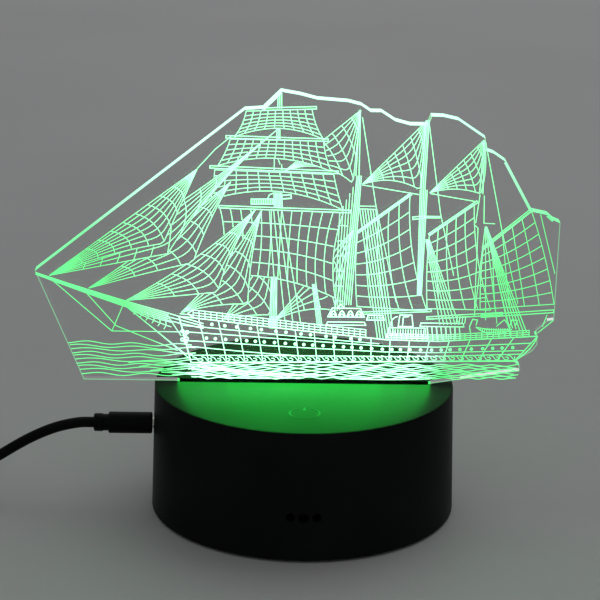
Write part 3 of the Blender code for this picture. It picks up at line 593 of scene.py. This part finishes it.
def square_sail(head_left, head_right, foot_left, foot_right, arch, lean, rows, columns, under=()):
    return four_sided(bow(head_left, head_right), bow(foot_left, foot_right, arch),
                      bow(foot_left, head_left, -lean), bow(foot_right, head_right, lean),
                      rows, columns, under=under)


def gaff_sail(throat, peak, tack, clew, leech, luff, rows, columns, under=()):
    return four_sided(bow(throat, peak), bow(tack, clew), bow(tack, throat, luff),
                      bow(clew, peak, leech), rows, columns, 1.1, under)


def staysail(tack, head, clew, stay, foot, leech, lines, arcs, corner=0.5, belly=1.2, under=()):
    """Long lines from tack to head, with arcs across them. Returns the sail's outline."""
    steps = 3 * arcs
    up_stay = bow(tack, head, stay, 24)
    to_clew, to_head = bow(tack, clew, foot), bow(clew, head, leech)
    way = (Vector(head) - Vector(tack)).normalized()
    rows = []
    for i in range(lines + 1):
        s = (i / lines) ** 1.15
        row = []
        for j in range(steps + 1):
            t = j / steps
            outer = (along(to_clew, t / corner) if t < corner
                     else along(to_head, (t - corner) / (1 - corner)))
            fill = way * belly * 4 * s * (1 - s) * sin(pi * t)
            row.append(along(up_stay, t).lerp(outer, s) + fill)
        for _ in range(3 * (lines - i)):
            row = [row[0], *((a + 2 * b + c) / 4 for a, b, c in zip(row, row[1:], row[2:])), row[-1]]
        rows.append(row)
    for row in rows:
        sails.line(row, THIN, under=under)
    for j in range(6, steps, 3):
        sails.line([row[j] for row in rows], THIN, under=under)
    return rows[0] + rows[-1][::-1][1:-1]


# The headsails lie one over the next, from the outermost in
jib_1 = staysail((-72.0, 68.6), (-30.5, 100.0), (-40.0, 78.4), 0.0, 1.0, 0.0, 7, 12, 0.57, 1.6)
jib_2 = staysail((-72.0, 68.6), (-8.4, 111.5), (-38.8, 75.4), -2.6, 0.0, 1.9, 6, 14, 0.5, 1.4,
                 [jib_1])
jib_3 = staysail((-61.0, 65.0), (-21.2, 96.4), (-31.7, 72.9), -0.8, 0.2, 0.6, 5, 9, 0.5, 1.4,
                 [jib_1, jib_2])
jib_4 = staysail((-50.5, 61.5), (-14.2, 88.6), (-24.7, 64.3), -1.5, 0.0, 1.1, 6, 9, 0.42, 1.4,
                 [jib_3])
jib_5 = staysail((-35.0, 58.1), (-12.5, 88.5), (-16.2, 60.9), -1.4, 0.8, 0.8, 5, 8, 0.4, 1.2,
                 [jib_4])
headsails = [jib_1, jib_2, jib_3, jib_4, jib_5]

# The foremast's square sails
royal = square_sail((-17.1, 116.5), (1.0, 117.3), (-20.3, 109.2), (4.3, 108.8), 2.8, 0.5, 6, 9)
topgallant = square_sail((-21.4, 108.6), (4.3, 108.3), (-24.8, 101.0), (6.5, 99.8), 2.9, 0.3, 5,
                         12, [jib_2])
topsail = square_sail((-25.7, 99.8), (7.3, 98.9), (-26.8, 91.2), (10.1, 88.7), 3.9, 0.2, 5, 11,
                      [jib_2, jib_3])
course = square_sail((-24.2, 88.9), (10.2, 87.9), (-25.0, 69.2), (8.4, 63.0), 2.4, 1.6, 5, 12,
                     headsails)

# Staysails and fore-and-aft sails behind them
staysail((-23.0, 56.3), (-8.0, 80.0), (-9.8, 57.8), 0.0, 0.4, 0.4, 4, 7, 0.4, 0.8,
         [course, *headsails])
staysail((-8.8, 56.0), (13.0, 83.0), (8.3, 59.4), 0.0, 1.6, 0.0, 4, 7, 0.55, 0.8, [course])
staysail((-6.3, 99.7), (14.4, 117.2), (12.7, 96.4), 0.0, 3.0, 0.0, 6, 8, 0.6, 0.6,
         [topgallant, topsail])
staysail((15.3, 96.2), (32.6, 114.4), (31.4, 94.8), 0.0, 1.9, 0.0, 6, 8, 0.7, 0.4)
staysail((34.1, 94.0), (48.6, 109.2), (48.3, 93.9), 0.0, 1.2, -0.9, 6, 8, 0.7, 0.4)
gaff_sail((14.3, 82.4), (28.6, 93.4), (14.6, 60.6), (34.4, 59.5), 1.7, 0.5, 7, 5)
gaff_sail((34.4, 81.9), (46.6, 91.0), (34.4, 60.2), (52.4, 60.0), 1.4, 0.4, 8, 5)
gaff_sail((49.6, 78.2), (62.6, 89.2), (49.4, 60.2), (70.2, 62.0), -0.6, 0.3, 8, 5)
sails.finish(lit_lines)

# %% [markdown]
# ## Masts, yards and rigging
# A mast is a few lines side by side, which the light fills in to one bright band. The shrouds
# fan out from a point on the mast down to the deck.

# %% Masts and rigging
rigging = Drawing("engraved_rigging")


def pole(foot, top, foot_width, top_width, lines):
    """Lines side by side that taper from the foot to the top."""
    fan([top - Vector((top_width / 2, 0)), top + Vector((top_width / 2, 0))],
        [foot - Vector((foot_width / 2, 0)), foot + Vector((foot_width / 2, 0))], lines, MIDDLE)


def fan(heads, feet, count, width=THIN, under=()):
    """Lines from evenly spaced points on one span to evenly spaced points on another."""
    for i in range(count):
        share = i / (count - 1)
        rigging.line([Vector(heads[0]).lerp(Vector(heads[1]), share),
                      Vector(feet[0]).lerp(Vector(feet[1]), share)], width, under=under)


def spar(a, b, thickness, width=MIDDLE):
    """A spar's two edges, a thickness apart, closed at both ends."""
    a, b = Vector(a), Vector(b)
    way = (b - a).normalized()
    side = Vector((-way.y, way.x)) * thickness / 2
    rigging.line([a + side, b + side, b - side, a - side], width, closed=True)


for foot, top, foot_width, top_width, lines in (
        ((-9.0, 57.0), (-8.9, 69.0), 1.8, 1.5, 5), ((-8.9, 53.8), (-8.9, 57.4), 2.0, 2.0, 7),
        ((-8.2, 108.8), (-8.2, 111.8), 0.9, 0.8, 3), ((-7.9, 117.4), (-7.9, 121.6), 1.1, 1.0, 3),
        ((11.9, 61.0), (14.4, 98.6), 1.9, 1.2, 4), ((13.9, 98.6), (14.2, 117.2), 0.9, 0.2, 2),
        ((4.2, 54.6), (2.4, 67.0), 1.3, 1.0, 4), ((32.1, 64.0), (32.4, 94.8), 1.1, 1.9, 5),
        ((32.2, 94.8), (32.9, 114.6), 1.0, 0.8, 3), ((48.4, 93.8), (48.8, 109.2), 0.9, 0.2, 2)):
    pole(Vector(foot), Vector(top), foot_width, top_width, lines)
for a, b, thickness in (((-12.6, 117.1), (2.2, 117.7), 0.7), ((-22.6, 109.2), (5.6, 108.6), 0.7),
                        ((-27.0, 100.6), (8.6, 99.5), 0.7), ((-24.4, 89.2), (12.2, 88.3), 0.7),
                        ((29.6, 86.6), (33.0, 87.0), 0.7), ((14.4, 82.4), (28.9, 93.6), 0.6),
                        ((34.3, 81.9), (47.4, 91.6), 0.6), ((49.6, 78.2), (62.8, 89.6), 0.7),
                        ((49.8, 58.2), (70.2, 59.9), 0.8), ((16.0, 58.6), (35.6, 59.7), 0.7),
                        ((34.4, 57.4), (55.8, 59.0), 0.7), ((33.0, 87.0), (37.2, 87.0), 0.4)):
    spar(a, b, thickness)

# The foremast's platform, and the block behind it
spar((-15.5, 90.8), (-9.2, 90.9), 1.5)
fan(((-15.0, 91.4), (-9.6, 91.5)), ((-15.0, 90.2), (-9.6, 90.3)), 12, MIDDLE)
spar((-7.0, 92.2), (-4.4, 92.4), 1.0, BOLD)
rigging.line([(-10.9, 91.6), (-10.5, 92.8), (-9.2, 93.4)], MIDDLE)
fan(((-9.2, 93.5), (-7.1, 93.5)), ((-9.0, 89.2), (-6.8, 89.2)), 7, MIDDLE)

# Shrouds, stays and the ladder between the course and the second mast
fan(((-10.4, 88.3), (-6.9, 88.3)), ((-8.0, 57.0), (-1.1, 54.8)), 4)
fan(((14.7, 89.2), (19.2, 89.0)), ((20.6, 51.2), (25.4, 51.0)), 7, MIDDLE)
fan(((33.4, 80.5), (34.4, 80.5)), ((38.2, 55.5), (43.6, 55.5)), 6)
fan(((49.9, 84.4), (50.1, 84.4)), ((47.8, 58.0), (57.6, 55.0)), 4)
fan(((50.0, 84.4), (50.3, 84.4)), ((57.8, 55.0), (62.8, 53.6)), 6, MIDDLE)
fan(((9.2, 88.0), (12.8, 95.4)), ((8.4, 59.0), (11.0, 60.0)), 5)
for i in range(6):
    z = 62.0 + 4.4 * i
    rigging.line(bow((8.2 + 0.1 * i, z), (10.6 + 0.2 * i, z - 0.1), 0.3, 4), THIN)
for a, b in (((14.9, 115.2), (19.2, 90.2)), ((19.2, 90.2), (25.6, 62.0)), ((14.6, 89.9), (19.2, 89.9)),
             ((14.6, 89.1), (19.2, 89.0)), ((15.3, 96.0), (31.4, 93.4)), ((33.3, 113.8), (37.3, 88.0)),
             ((37.3, 88.0), (41.6, 70.0)), ((34.2, 93.8), (47.2, 91.6)), ((49.1, 108.6), (54.7, 83.0)),
             ((54.7, 83.0), (60.0, 62.0)), ((47.2, 85.4), (48.1, 93.6)), ((49.5, 85.4), (49.3, 93.4)),
             ((49.5, 85.4), (52.6, 85.3)), ((47.0, 84.8), (47.9, 84.0)), ((47.9, 84.0), (47.8, 60.0)),
             ((65.2, 88.2), (70.0, 71.0)), ((-25.6, 105.6), (-20.9, 109.6)), ((-30.4, 100.2), (-25.6, 105.6)),
             ((-9.2, 103.2), (-9.2, 99.9)), ((-8.2, 103.2), (-7.6, 101.6)), ((-7.2, 101.6), (-7.0, 99.9)),
             ((68.4, 58.8), (67.2, 55.2)), ((70.3, 57.2), (66.0, 53.4))):
    rigging.line([a, b], THIN, under=[jib_1] if a[0] < -20 else ())
rigging.finish(lit_lines)

# %% [markdown]
# ## Hull
# The hull's planks run from the stem to the stern, each a curve between a forward and an after
# height, and the ribs cross them. A function of two shares gives any point on the hull, so the
# ports, the ribs and the band along the waterline all follow the same surface.

# %% Hull
hull = Drawing("engraved_hull")
STEM_X, STERN_X = -32.2, 59.8
RAKE, OVERHANG = 3.4, 6.2
SHEER = ((0.0, 57.0), (0.06, 56.4), (0.35, 53.2), (0.60, 50.8), (0.75, 50.5), (0.90, 51.6), (1.0, 52.4))
KEEL_Z = (43.2, 44.9)


def sheer_z(share):
    """Height of the deck's edge: low amidships, and rising to both ends."""
    for (a, low), (b, high) in zip(SHEER, SHEER[1:]):
        if share <= b:
            return low + (high - low) * (share - a) / (b - a)
    return SHEER[-1][1]


def on_hull(share, height):
    """A point by its share of the length and of the height, from the keel to the deck."""
    flare = height * (OVERHANG * share ** 5 - RAKE * (1 - share) ** 2.5)
    low = KEEL_Z[0] + (KEEL_Z[1] - KEEL_Z[0]) * share
    return Vector((STEM_X + (STERN_X - STEM_X) * share + flare, low + (sheer_z(share) - low) * height))


def plank(forward, after, width, stop=1.0, steps=40):
    """A plank from the stem, whose height changes evenly from a forward to an after one."""
    hull.line([on_hull(stop * i / steps, forward + (after - forward) * i / steps)
               for i in range(steps + 1)], width)


plank(0.0, 0.0, 0.34)
plank(0.16, 0.28, 0.21)
plank(0.36, 0.19, 0.21, 0.35)
plank(0.48, 0.42, 0.21)
plank(0.67, 0.72, 0.21)
plank(0.81, 0.79, 0.21, 0.58)
plank(1.0, 1.0, 0.27)
RIBS = 18
for i in range(RIBS + 1):
    hull.line([on_hull(i / RIBS, 1.0 - j / 4) for j in range(4)] + [on_hull(i / RIBS, 0.06)], 0.22)
hull.line([on_hull(0, j / 4) for j in range(5)], BOLD)
hull.line([on_hull(1, j / 4) + Vector((1.1 * sin(pi * j / 4), 0)) for j in range(5)], MIDDLE)


def port(share, height, radius):
    """A port is a small disc: a ring of lines wide enough to meet in the middle."""
    centre = on_hull(share, height)
    ring = [centre + Vector((cos(a), sin(a))) * radius / 2 for a in (i * pi / 4 for i in range(8))]
    hull.line(ring, radius, closed=True)


for i in range(13):
    port(0.090 + 0.0365 * i + 0.005 * sin(3 * i), 0.895, 0.46)
for i in range(32):
    port(0.065 + 0.029 * i + 0.003 * sin(5 * i), 0.56, 0.46)

# The scrolled band along the waterline
SCROLLS = 36
for i in range(SCROLLS):
    curl = [(-0.15, 1.8), (0.25, 1.5), (0.55, 0.5), (0.80, 0.3), (1.02, 0.7), (0.90, 1.2), (0.62, 1.2)]
    hull.line([on_hull(min(1.0, (i + 0.3 + u) / SCROLLS), 0.0) + Vector((0, rise)) for u, rise in curl],
              THIN)

# %% [markdown]
# ## Bowsprit, bulwark and deck
# Above the hull come the bulwark's fine grid, the deckhouses, a lifeboat and the rails. They are
# small, so a few boxes and rows of posts carry them.

# %% Bowsprit and deck
for i in range(5):
    hull.line(bow((-75.8, 69.4 - i * 0.12), (-38.6, 57.9 - i * 0.55), -0.3, 8), MIDDLE)
for i in range(3):
    hull.line([(-38.6, 57.9 - i * 1.1), (-28.7, 54.9 - i * 0.7)], MIDDLE)
for a, b in (((-72.0, 68.0), (-54.6, 52.4)), ((-61.9, 63.9), (-53.4, 54.0)), ((-53.4, 54.0), (-36.0, 46.8)),
             ((-51.5, 59.8), (-54.6, 52.4)), ((-54.6, 52.4), (-34.4, 52.4)), ((-50.8, 60.0), (-33.6, 45.6)),
             ((-50.4, 59.8), (-32.6, 44.4)), ((-39.0, 57.4), (-35.0, 51.2)), ((-35.4, 57.8), (-31.6, 57.4))):
    hull.line([a, b], THIN)
for i in range(6):
    x, z = -48.0 + i * 1.7, 59.0 - i * 0.5
    hull.line([(x, z), (x + 0.3, z - 0.9 - i * 0.25), (x - 0.4, z - 1.6 - i * 0.35)], THIN)
for i in range(2):
    hull.line(bow((-49.8, 59.2), (-37.8, 55.2 - i * 1.4), -0.3, 6), THIN)


def rail(left, right, rows, posts, gap, width=THIN):
    """Rails above the deck's edge, between two shares of the length, with their posts."""
    for row in range(rows):
        hull.line([on_hull(left + (right - left) * i / 12, 1.0) + Vector((0, gap * (row + 1)))
                   for i in range(13)], width)
    for i in range(posts + 1):
        foot = on_hull(left + (right - left) * i / posts, 1.0)
        hull.line([foot, foot + Vector((0, gap * rows))], width)


rail(0.04, 0.54, 3, 30, 0.78)
rail_start = on_hull(0.04, 1.0)
hull.line([rail_start + Vector((0, 2.34)), on_hull(0.025, 1.0) + Vector((0, 1.2)), rail_start],
          MIDDLE)
rail(0.60, 0.98, 3, 26, 0.62)


def house(left, right, floor_z, roof_z, windows=0, lean=0.4):
    """A deckhouse: a box whose sides lean in, with upright lines between its windows."""
    hull.line([(left, floor_z), (left + lean, roof_z), (right - lean, roof_z), (right, floor_z)], MIDDLE,
              closed=True)
    for i in range(windows):
        x = left + (right - left) * (i + 1) / (windows + 1)
        hull.line([(x, floor_z + 0.5), (x, roof_z - 0.5)], MIDDLE)


house(6.0, 17.2, 55.0, 55.9)
house(6.4, 16.8, 57.4, 60.0, 0, 1.2)
for i in range(4):
    x = 8.0 + 2.4 * i
    hull.line(bow((x - 0.9, 57.6), (x + 0.9, 57.6), 1.6, 6), BOLD)
    hull.line(bow((x - 0.6, 57.6), (x + 0.6, 57.6), 0.7, 4), MIDDLE)
hull.line([(9.0, 60.0), (10.0, 61.2), (11.2, 60.0)], MIDDLE)
house(17.4, 22.4, 56.6, 58.0, 6)
house(26.4, 30.6, 54.8, 58.2, 0)
hull.line(bow((24.4, 54.8), (26.2, 57.8), 0.8, 6), MIDDLE)
hull.line([(27.6, 54.8), (27.8, 57.6), (29.4, 57.8)], MIDDLE)
house(23.4, 34.4, 51.4, 54.4, 14)
house(32.6, 45.0, 54.9, 55.9, 0, 0.2)
for i in range(8):
    x = 34.6 + 1.3 * i
    hull.line([(x, 54.9), (x + 0.4, 51.2)], MIDDLE if i % 2 else BOLD)
for i in range(4):
    x = 43.0 + 0.8 * i
    hull.line([(x, 58.0), (x - 0.2, 55.9)], THIN)

# Lifeboat and its davits
boat_keel = bow((48.4, 54.9), (58.6, 54.4), -1.9, 10)
hull.line(boat_keel, MIDDLE)
hull.line(bow((48.4, 54.9), (58.6, 54.4), -0.5, 8), THIN)
for i in range(1, 16):
    top = Vector((48.4 + 0.64 * i, 54.6))
    hull.line([top, along(boat_keel, i / 16)], THIN)
for x in (47.6, 58.8):
    hull.line([(x - 0.6, 52.6), (x - 1.0, 55.0), (x - 0.2, 57.2), (x + 1.2, 57.0), (x + 0.8, 55.4)], MIDDLE)
hull.line([(54.2, 55.2), (56.4, 57.2), (58.2, 54.8)], THIN)

# The anchor's housing at the bow
for x, z in ((-34.6, 52.6), (-33.3, 52.3), (-34.0, 51.4), (-33.4, 50.4), (-34.7, 50.1), (-33.7, 49.5)):
    hull.line([(x + 0.45 * cos(a), z + 0.45 * sin(a)) for a in (j * pi / 3 for j in range(6))], BOLD,
              closed=True)
hull.finish(lit_hull)

# %% [markdown]
# ## Sea
# The sea is a set of long wavy lines. Each is the sum of two sine waves whose lengths and starts
# differ from line to line. Under the hull, neighbours swing opposite ways, so that they meet
# and part, and leave small lens-shaped gaps as hand-drawn water does. A few long, shallow
# strokes sweep across them.

# %% Sea
sea = Drawing("engraved_sea")


def wave(left, right, z, height, length, start, width, slope=0.0):
    """A wavy line from left to right, that climbs by the slope."""
    steps = max(8, round((right - left) / 0.8))
    points = []
    for i in range(steps + 1):
        x = left + (right - left) * i / steps
        swell = sin(2 * pi * x / length + start) + 0.4 * sin(2 * pi * x / (length * 2.7) + 2.3 * start)
        points.append((x, z + slope * (x - left) + height * swell))
    sea.line(points, width)


# The panel's left edge leans, and each wave starts just inside it
for i in range(10):
    z = 48.9 - 1.02 * i
    edge_x = -62.9 - 4.0 * (z - 38.2) / 10.6
    wave(edge_x, -32.0 + 1.2 * sin(i), z, 0.36, 13.0 + 2.7 * (i % 3), 1.9 * i, THIN, -0.012)
for i in range(5):
    left, right, z = -50.0 + 3.1 * i, -29.0 + 2.0 * i, 42.9 - 0.95 * i
    wave(left, right, z, 0.35, 17.0 + 2.0 * i, 2.6 * i, THIN, 0.05)
for i in range(9):
    left, right, z = -33.0 + 0.9 * (i % 3), 61.0 - 0.6 * (i % 3), 42.75 - 0.50 * i
    wave(left, right, z, 0.24, 7.4 + 1.1 * sin(2.1 * i), pi * i, 0.20, 0.009)
for i in range(4):
    left, right = -31.0 + 2.5 * i, -6.0 + 5.0 * i
    sea.line(bow((left, 42.6 - 0.3 * i), (right, 39.4 + 0.25 * i), -0.7, 16), THIN)
for left, right, z in ((-22.8, -1.0, 38.9), (10.6, 36.0, 39.0)):
    sea.line(bow((left, z), (right, z + 0.2), -0.25, 12), MIDDLE)
sea.finish(lit_hull)

# %% [markdown]
# ## Lit edges
# Light that reaches the panel's cut edge gets out there too, and brightest where the edge faces
# up, away from the lights. Each edge that glows is a thin band on the edge face: a row of
# vertices along the outline, extruded through the panel's thickness and given a skin's depth.
# From the front, many of these edges are seen end on, so lines are drawn beside them too: a
# broad one where the edge slopes steeply upwards, and a fine one where it is upright or faces
# down.

# %% Lit edges
REAR_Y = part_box("acrylic_panel")[1].y
SKIN = 0.00004


def welded_outline():
    """The panel's outline at its front face, in order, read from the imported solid."""
    bm = bmesh.new()
    bm.from_mesh(frame["nodes"]["acrylic_panel"].data)
    bmesh.ops.remove_doubles(bm, verts=bm.verts, dist=1e-6)
    bmesh.ops.dissolve_limit(bm, angle_limit=radians(0.5), verts=bm.verts, edges=bm.edges)
    front = min((f for f in bm.faces if f.normal.y < -0.9), key=lambda f: -f.calc_area())
    points = [v.co.copy() for v in front.verts]
    bm.free()
    return points


outline = welded_outline()
print("the panel's outline has", len(outline), "corners")


def edge_band(name, chosen, material):
    """Bands on every stretch of the outline for which chosen says yes."""
    bm = bmesh.new()
    turning = sum(a.x * b.z - b.x * a.z for a, b in zip(outline, outline[1:] + outline[:1]))
    for a, b in zip(outline, outline[1:] + outline[:1]):
        way = (b - a).normalized()
        out = Vector((way.z, 0, -way.x)) * (1 if turning > 0 else -1)
        if not chosen(a, b, out):
            continue
        lift = out * SKIN
        ends = [bm.verts.new((p.x + lift.x, FRONT_Y, p.z + lift.z)) for p in (a, b)]
        bm.edges.new(ends)
    grown = bmesh.ops.extrude_edge_only(bm, edges=bm.edges[:])["geom"]
    bmesh.ops.translate(bm, vec=(0, REAR_Y - FRONT_Y, 0),
                        verts=[g for g in grown if isinstance(g, bmesh.types.BMVert)])
    mesh = bpy.data.meshes.new(name)
    bm.to_mesh(mesh)
    bm.free()
    piece = bpy.data.objects.new(name, mesh)
    bpy.context.scene.collection.objects.link(piece)
    wall = piece.modifiers.new("skin", "SOLIDIFY")
    wall.thickness = SKIN
    wall.offset = 0.0
    mesh.materials.append(material)
    piece.visible_diffuse = False
    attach(piece, "panel")
    print(name, "has", len(mesh.polygons), "band faces")


UPWARDS = 0.35
edge_band("lit_top_edge", lambda a, b, out: out.z > UPWARDS, lit_cut)
edge_band("lit_side_edge", lambda a, b, out: out.z <= UPWARDS and max(a.z, b.z) > TOP_Z, faint_cut)


# Line widths in millimetres, and how far up an edge has to face to need no line
CORNER_LINE, STEEP_LINE = 0.18, 0.55
FACES_UP = 0.75
corner_lines = Drawing("lit_corner_lines")
steep_lines = Drawing("lit_steep_lines")
middle = sum(outline, Vector()) / len(outline)
for a, b in zip(outline, outline[1:] + outline[:1]):
    way = (b - a).normalized()
    out = Vector((way.z, 0, -way.x))
    if out.dot((a + b) / 2 - middle) < 0:
        out = -out
    if min(a.z, b.z) < TOP_Z or out.z > FACES_UP:
        continue
    steep = out.z > UPWARDS
    width = STEEP_LINE if steep else CORNER_LINE
    inset = out * width * MM / 2
    ends = [(p - inset) / MM for p in (a, b)]
    (steep_lines if steep else corner_lines).line([(p.x, p.z) for p in ends], width)
corner_lines.finish(lit("lit_corner", (0.34, 0.80, 0.42), (0.18, 0.46, 0.24), 1.1))
steep_lines.finish(lit_cut)

# The tongue's two sides glow green where they come out of the slot
TONGUE_HALF_WIDTH, TONGUE_SHOWS_TO, TONGUE_LINE = 35.75, 38.5, 0.6
tongue_sides = Drawing("lit_tongue_sides")
for x in (-TONGUE_HALF_WIDTH, TONGUE_HALF_WIDTH):
    tongue_sides.line([(x, TOP_Z / MM + 0.1), (x, TONGUE_SHOWS_TO)], TONGUE_LINE)
tongue_sides.finish(lit("lit_tongue", (0.06, 1.0, 0.16), (0.06, 1.0, 0.16), 1.0))

# %% [markdown]
# ## Table and light
# The table is one large matt sheet, so pale that dim light makes it mid-grey. A wide lamp hangs
# over it, and a faint even light fills the shadows. The engraving glows but lights nothing else.

# %% Table and light
def plain_table():
    made, tree, shader = new_finish("table", (0.5, 0.5, 0.5), 0.85)
    tree.links.new(shade(tree, pattern(tree, 3.0), (0.47, 0.47, 0.475), (0.53, 0.53, 0.535)),
                   shader.inputs["Base Color"])
    return made


bm = bmesh.new()
bmesh.ops.create_grid(bm, x_segments=8, y_segments=8, size=4.0)
mesh = bpy.data.meshes.new("table")
bm.to_mesh(mesh)
bm.free()
table = bpy.data.objects.new("table", mesh)
bpy.context.scene.collection.objects.link(table)
mesh.materials.append(plain_table())

world = bpy.data.worlds.new("room")
bpy.context.scene.world = world
world.use_nodes = True
world.node_tree.nodes["Background"].inputs["Color"].default_value = (0.98, 0.99, 1.0, 1.0)
world.node_tree.nodes["Background"].inputs["Strength"].default_value = 0.25


def area_light(name, place, aim, size, power):
    """A square lamp at a place, turned to face a point."""
    light = bpy.data.lights.new(name, "AREA")
    light.size = size
    light.energy = power
    made = bpy.data.objects.new(name, light)
    made.location = place
    made.rotation_mode = "QUATERNION"
    made.rotation_quaternion = (Vector(aim) - Vector(place)).to_track_quat("-Z", "Y")
    bpy.context.scene.collection.objects.link(made)
    return made


area_light("overhead", (0.60, 1.4, 1.75), (0.0, 0.35, 0.0), 2.6, 11.3)

# %% [markdown]
# ## The glow on the base
# The engraving itself is left out of reflections and of the light on other pieces, because its
# hair-thin lines would come back as noise. In its place, a soft green lamp on each side of the
# panel does what the engraving does as a whole: it lights the top of the base, and light linking
# keeps it off the rest. Each is three upright ellipses of different widths whose lower halves
# are inside the base, so that the light fades softly towards the sides.

# %% Glow on the base
GLOW_HEIGHT = 0.12
GLOW_WIDTHS = (0.044, 0.058, 0.072)
GLOW_COLOUR = (0.004, 1.0, 0.060)
GLOW_GAP = 0.0003
FRONT_POWER, REAR_POWER = 0.190, 0.30
lit_top = bpy.data.collections.new("lit_top")
lit_top.objects.link(housing)
lit_top.objects.link(touch_mark)
for side, y, way, power in (("front", FRONT_Y - GLOW_GAP, -1.0, FRONT_POWER),
                            ("rear", REAR_Y + GLOW_GAP, 1.0, REAR_POWER)):
    centre = Vector((0.0, y, TOP_Z))
    for width in GLOW_WIDTHS:
        glow = area_light("glow_" + side, centre, centre + Vector((0, way, 0)), width, power)
        glow.data.shape = "ELLIPSE"
        glow.data.size_y = GLOW_HEIGHT
        glow.data.color = GLOW_COLOUR
        glow.light_linking.receiver_collection = lit_top
        glow.visible_camera = False
        glow.visible_transmission = False

# %% Update the scene
bpy.context.view_layer.update()
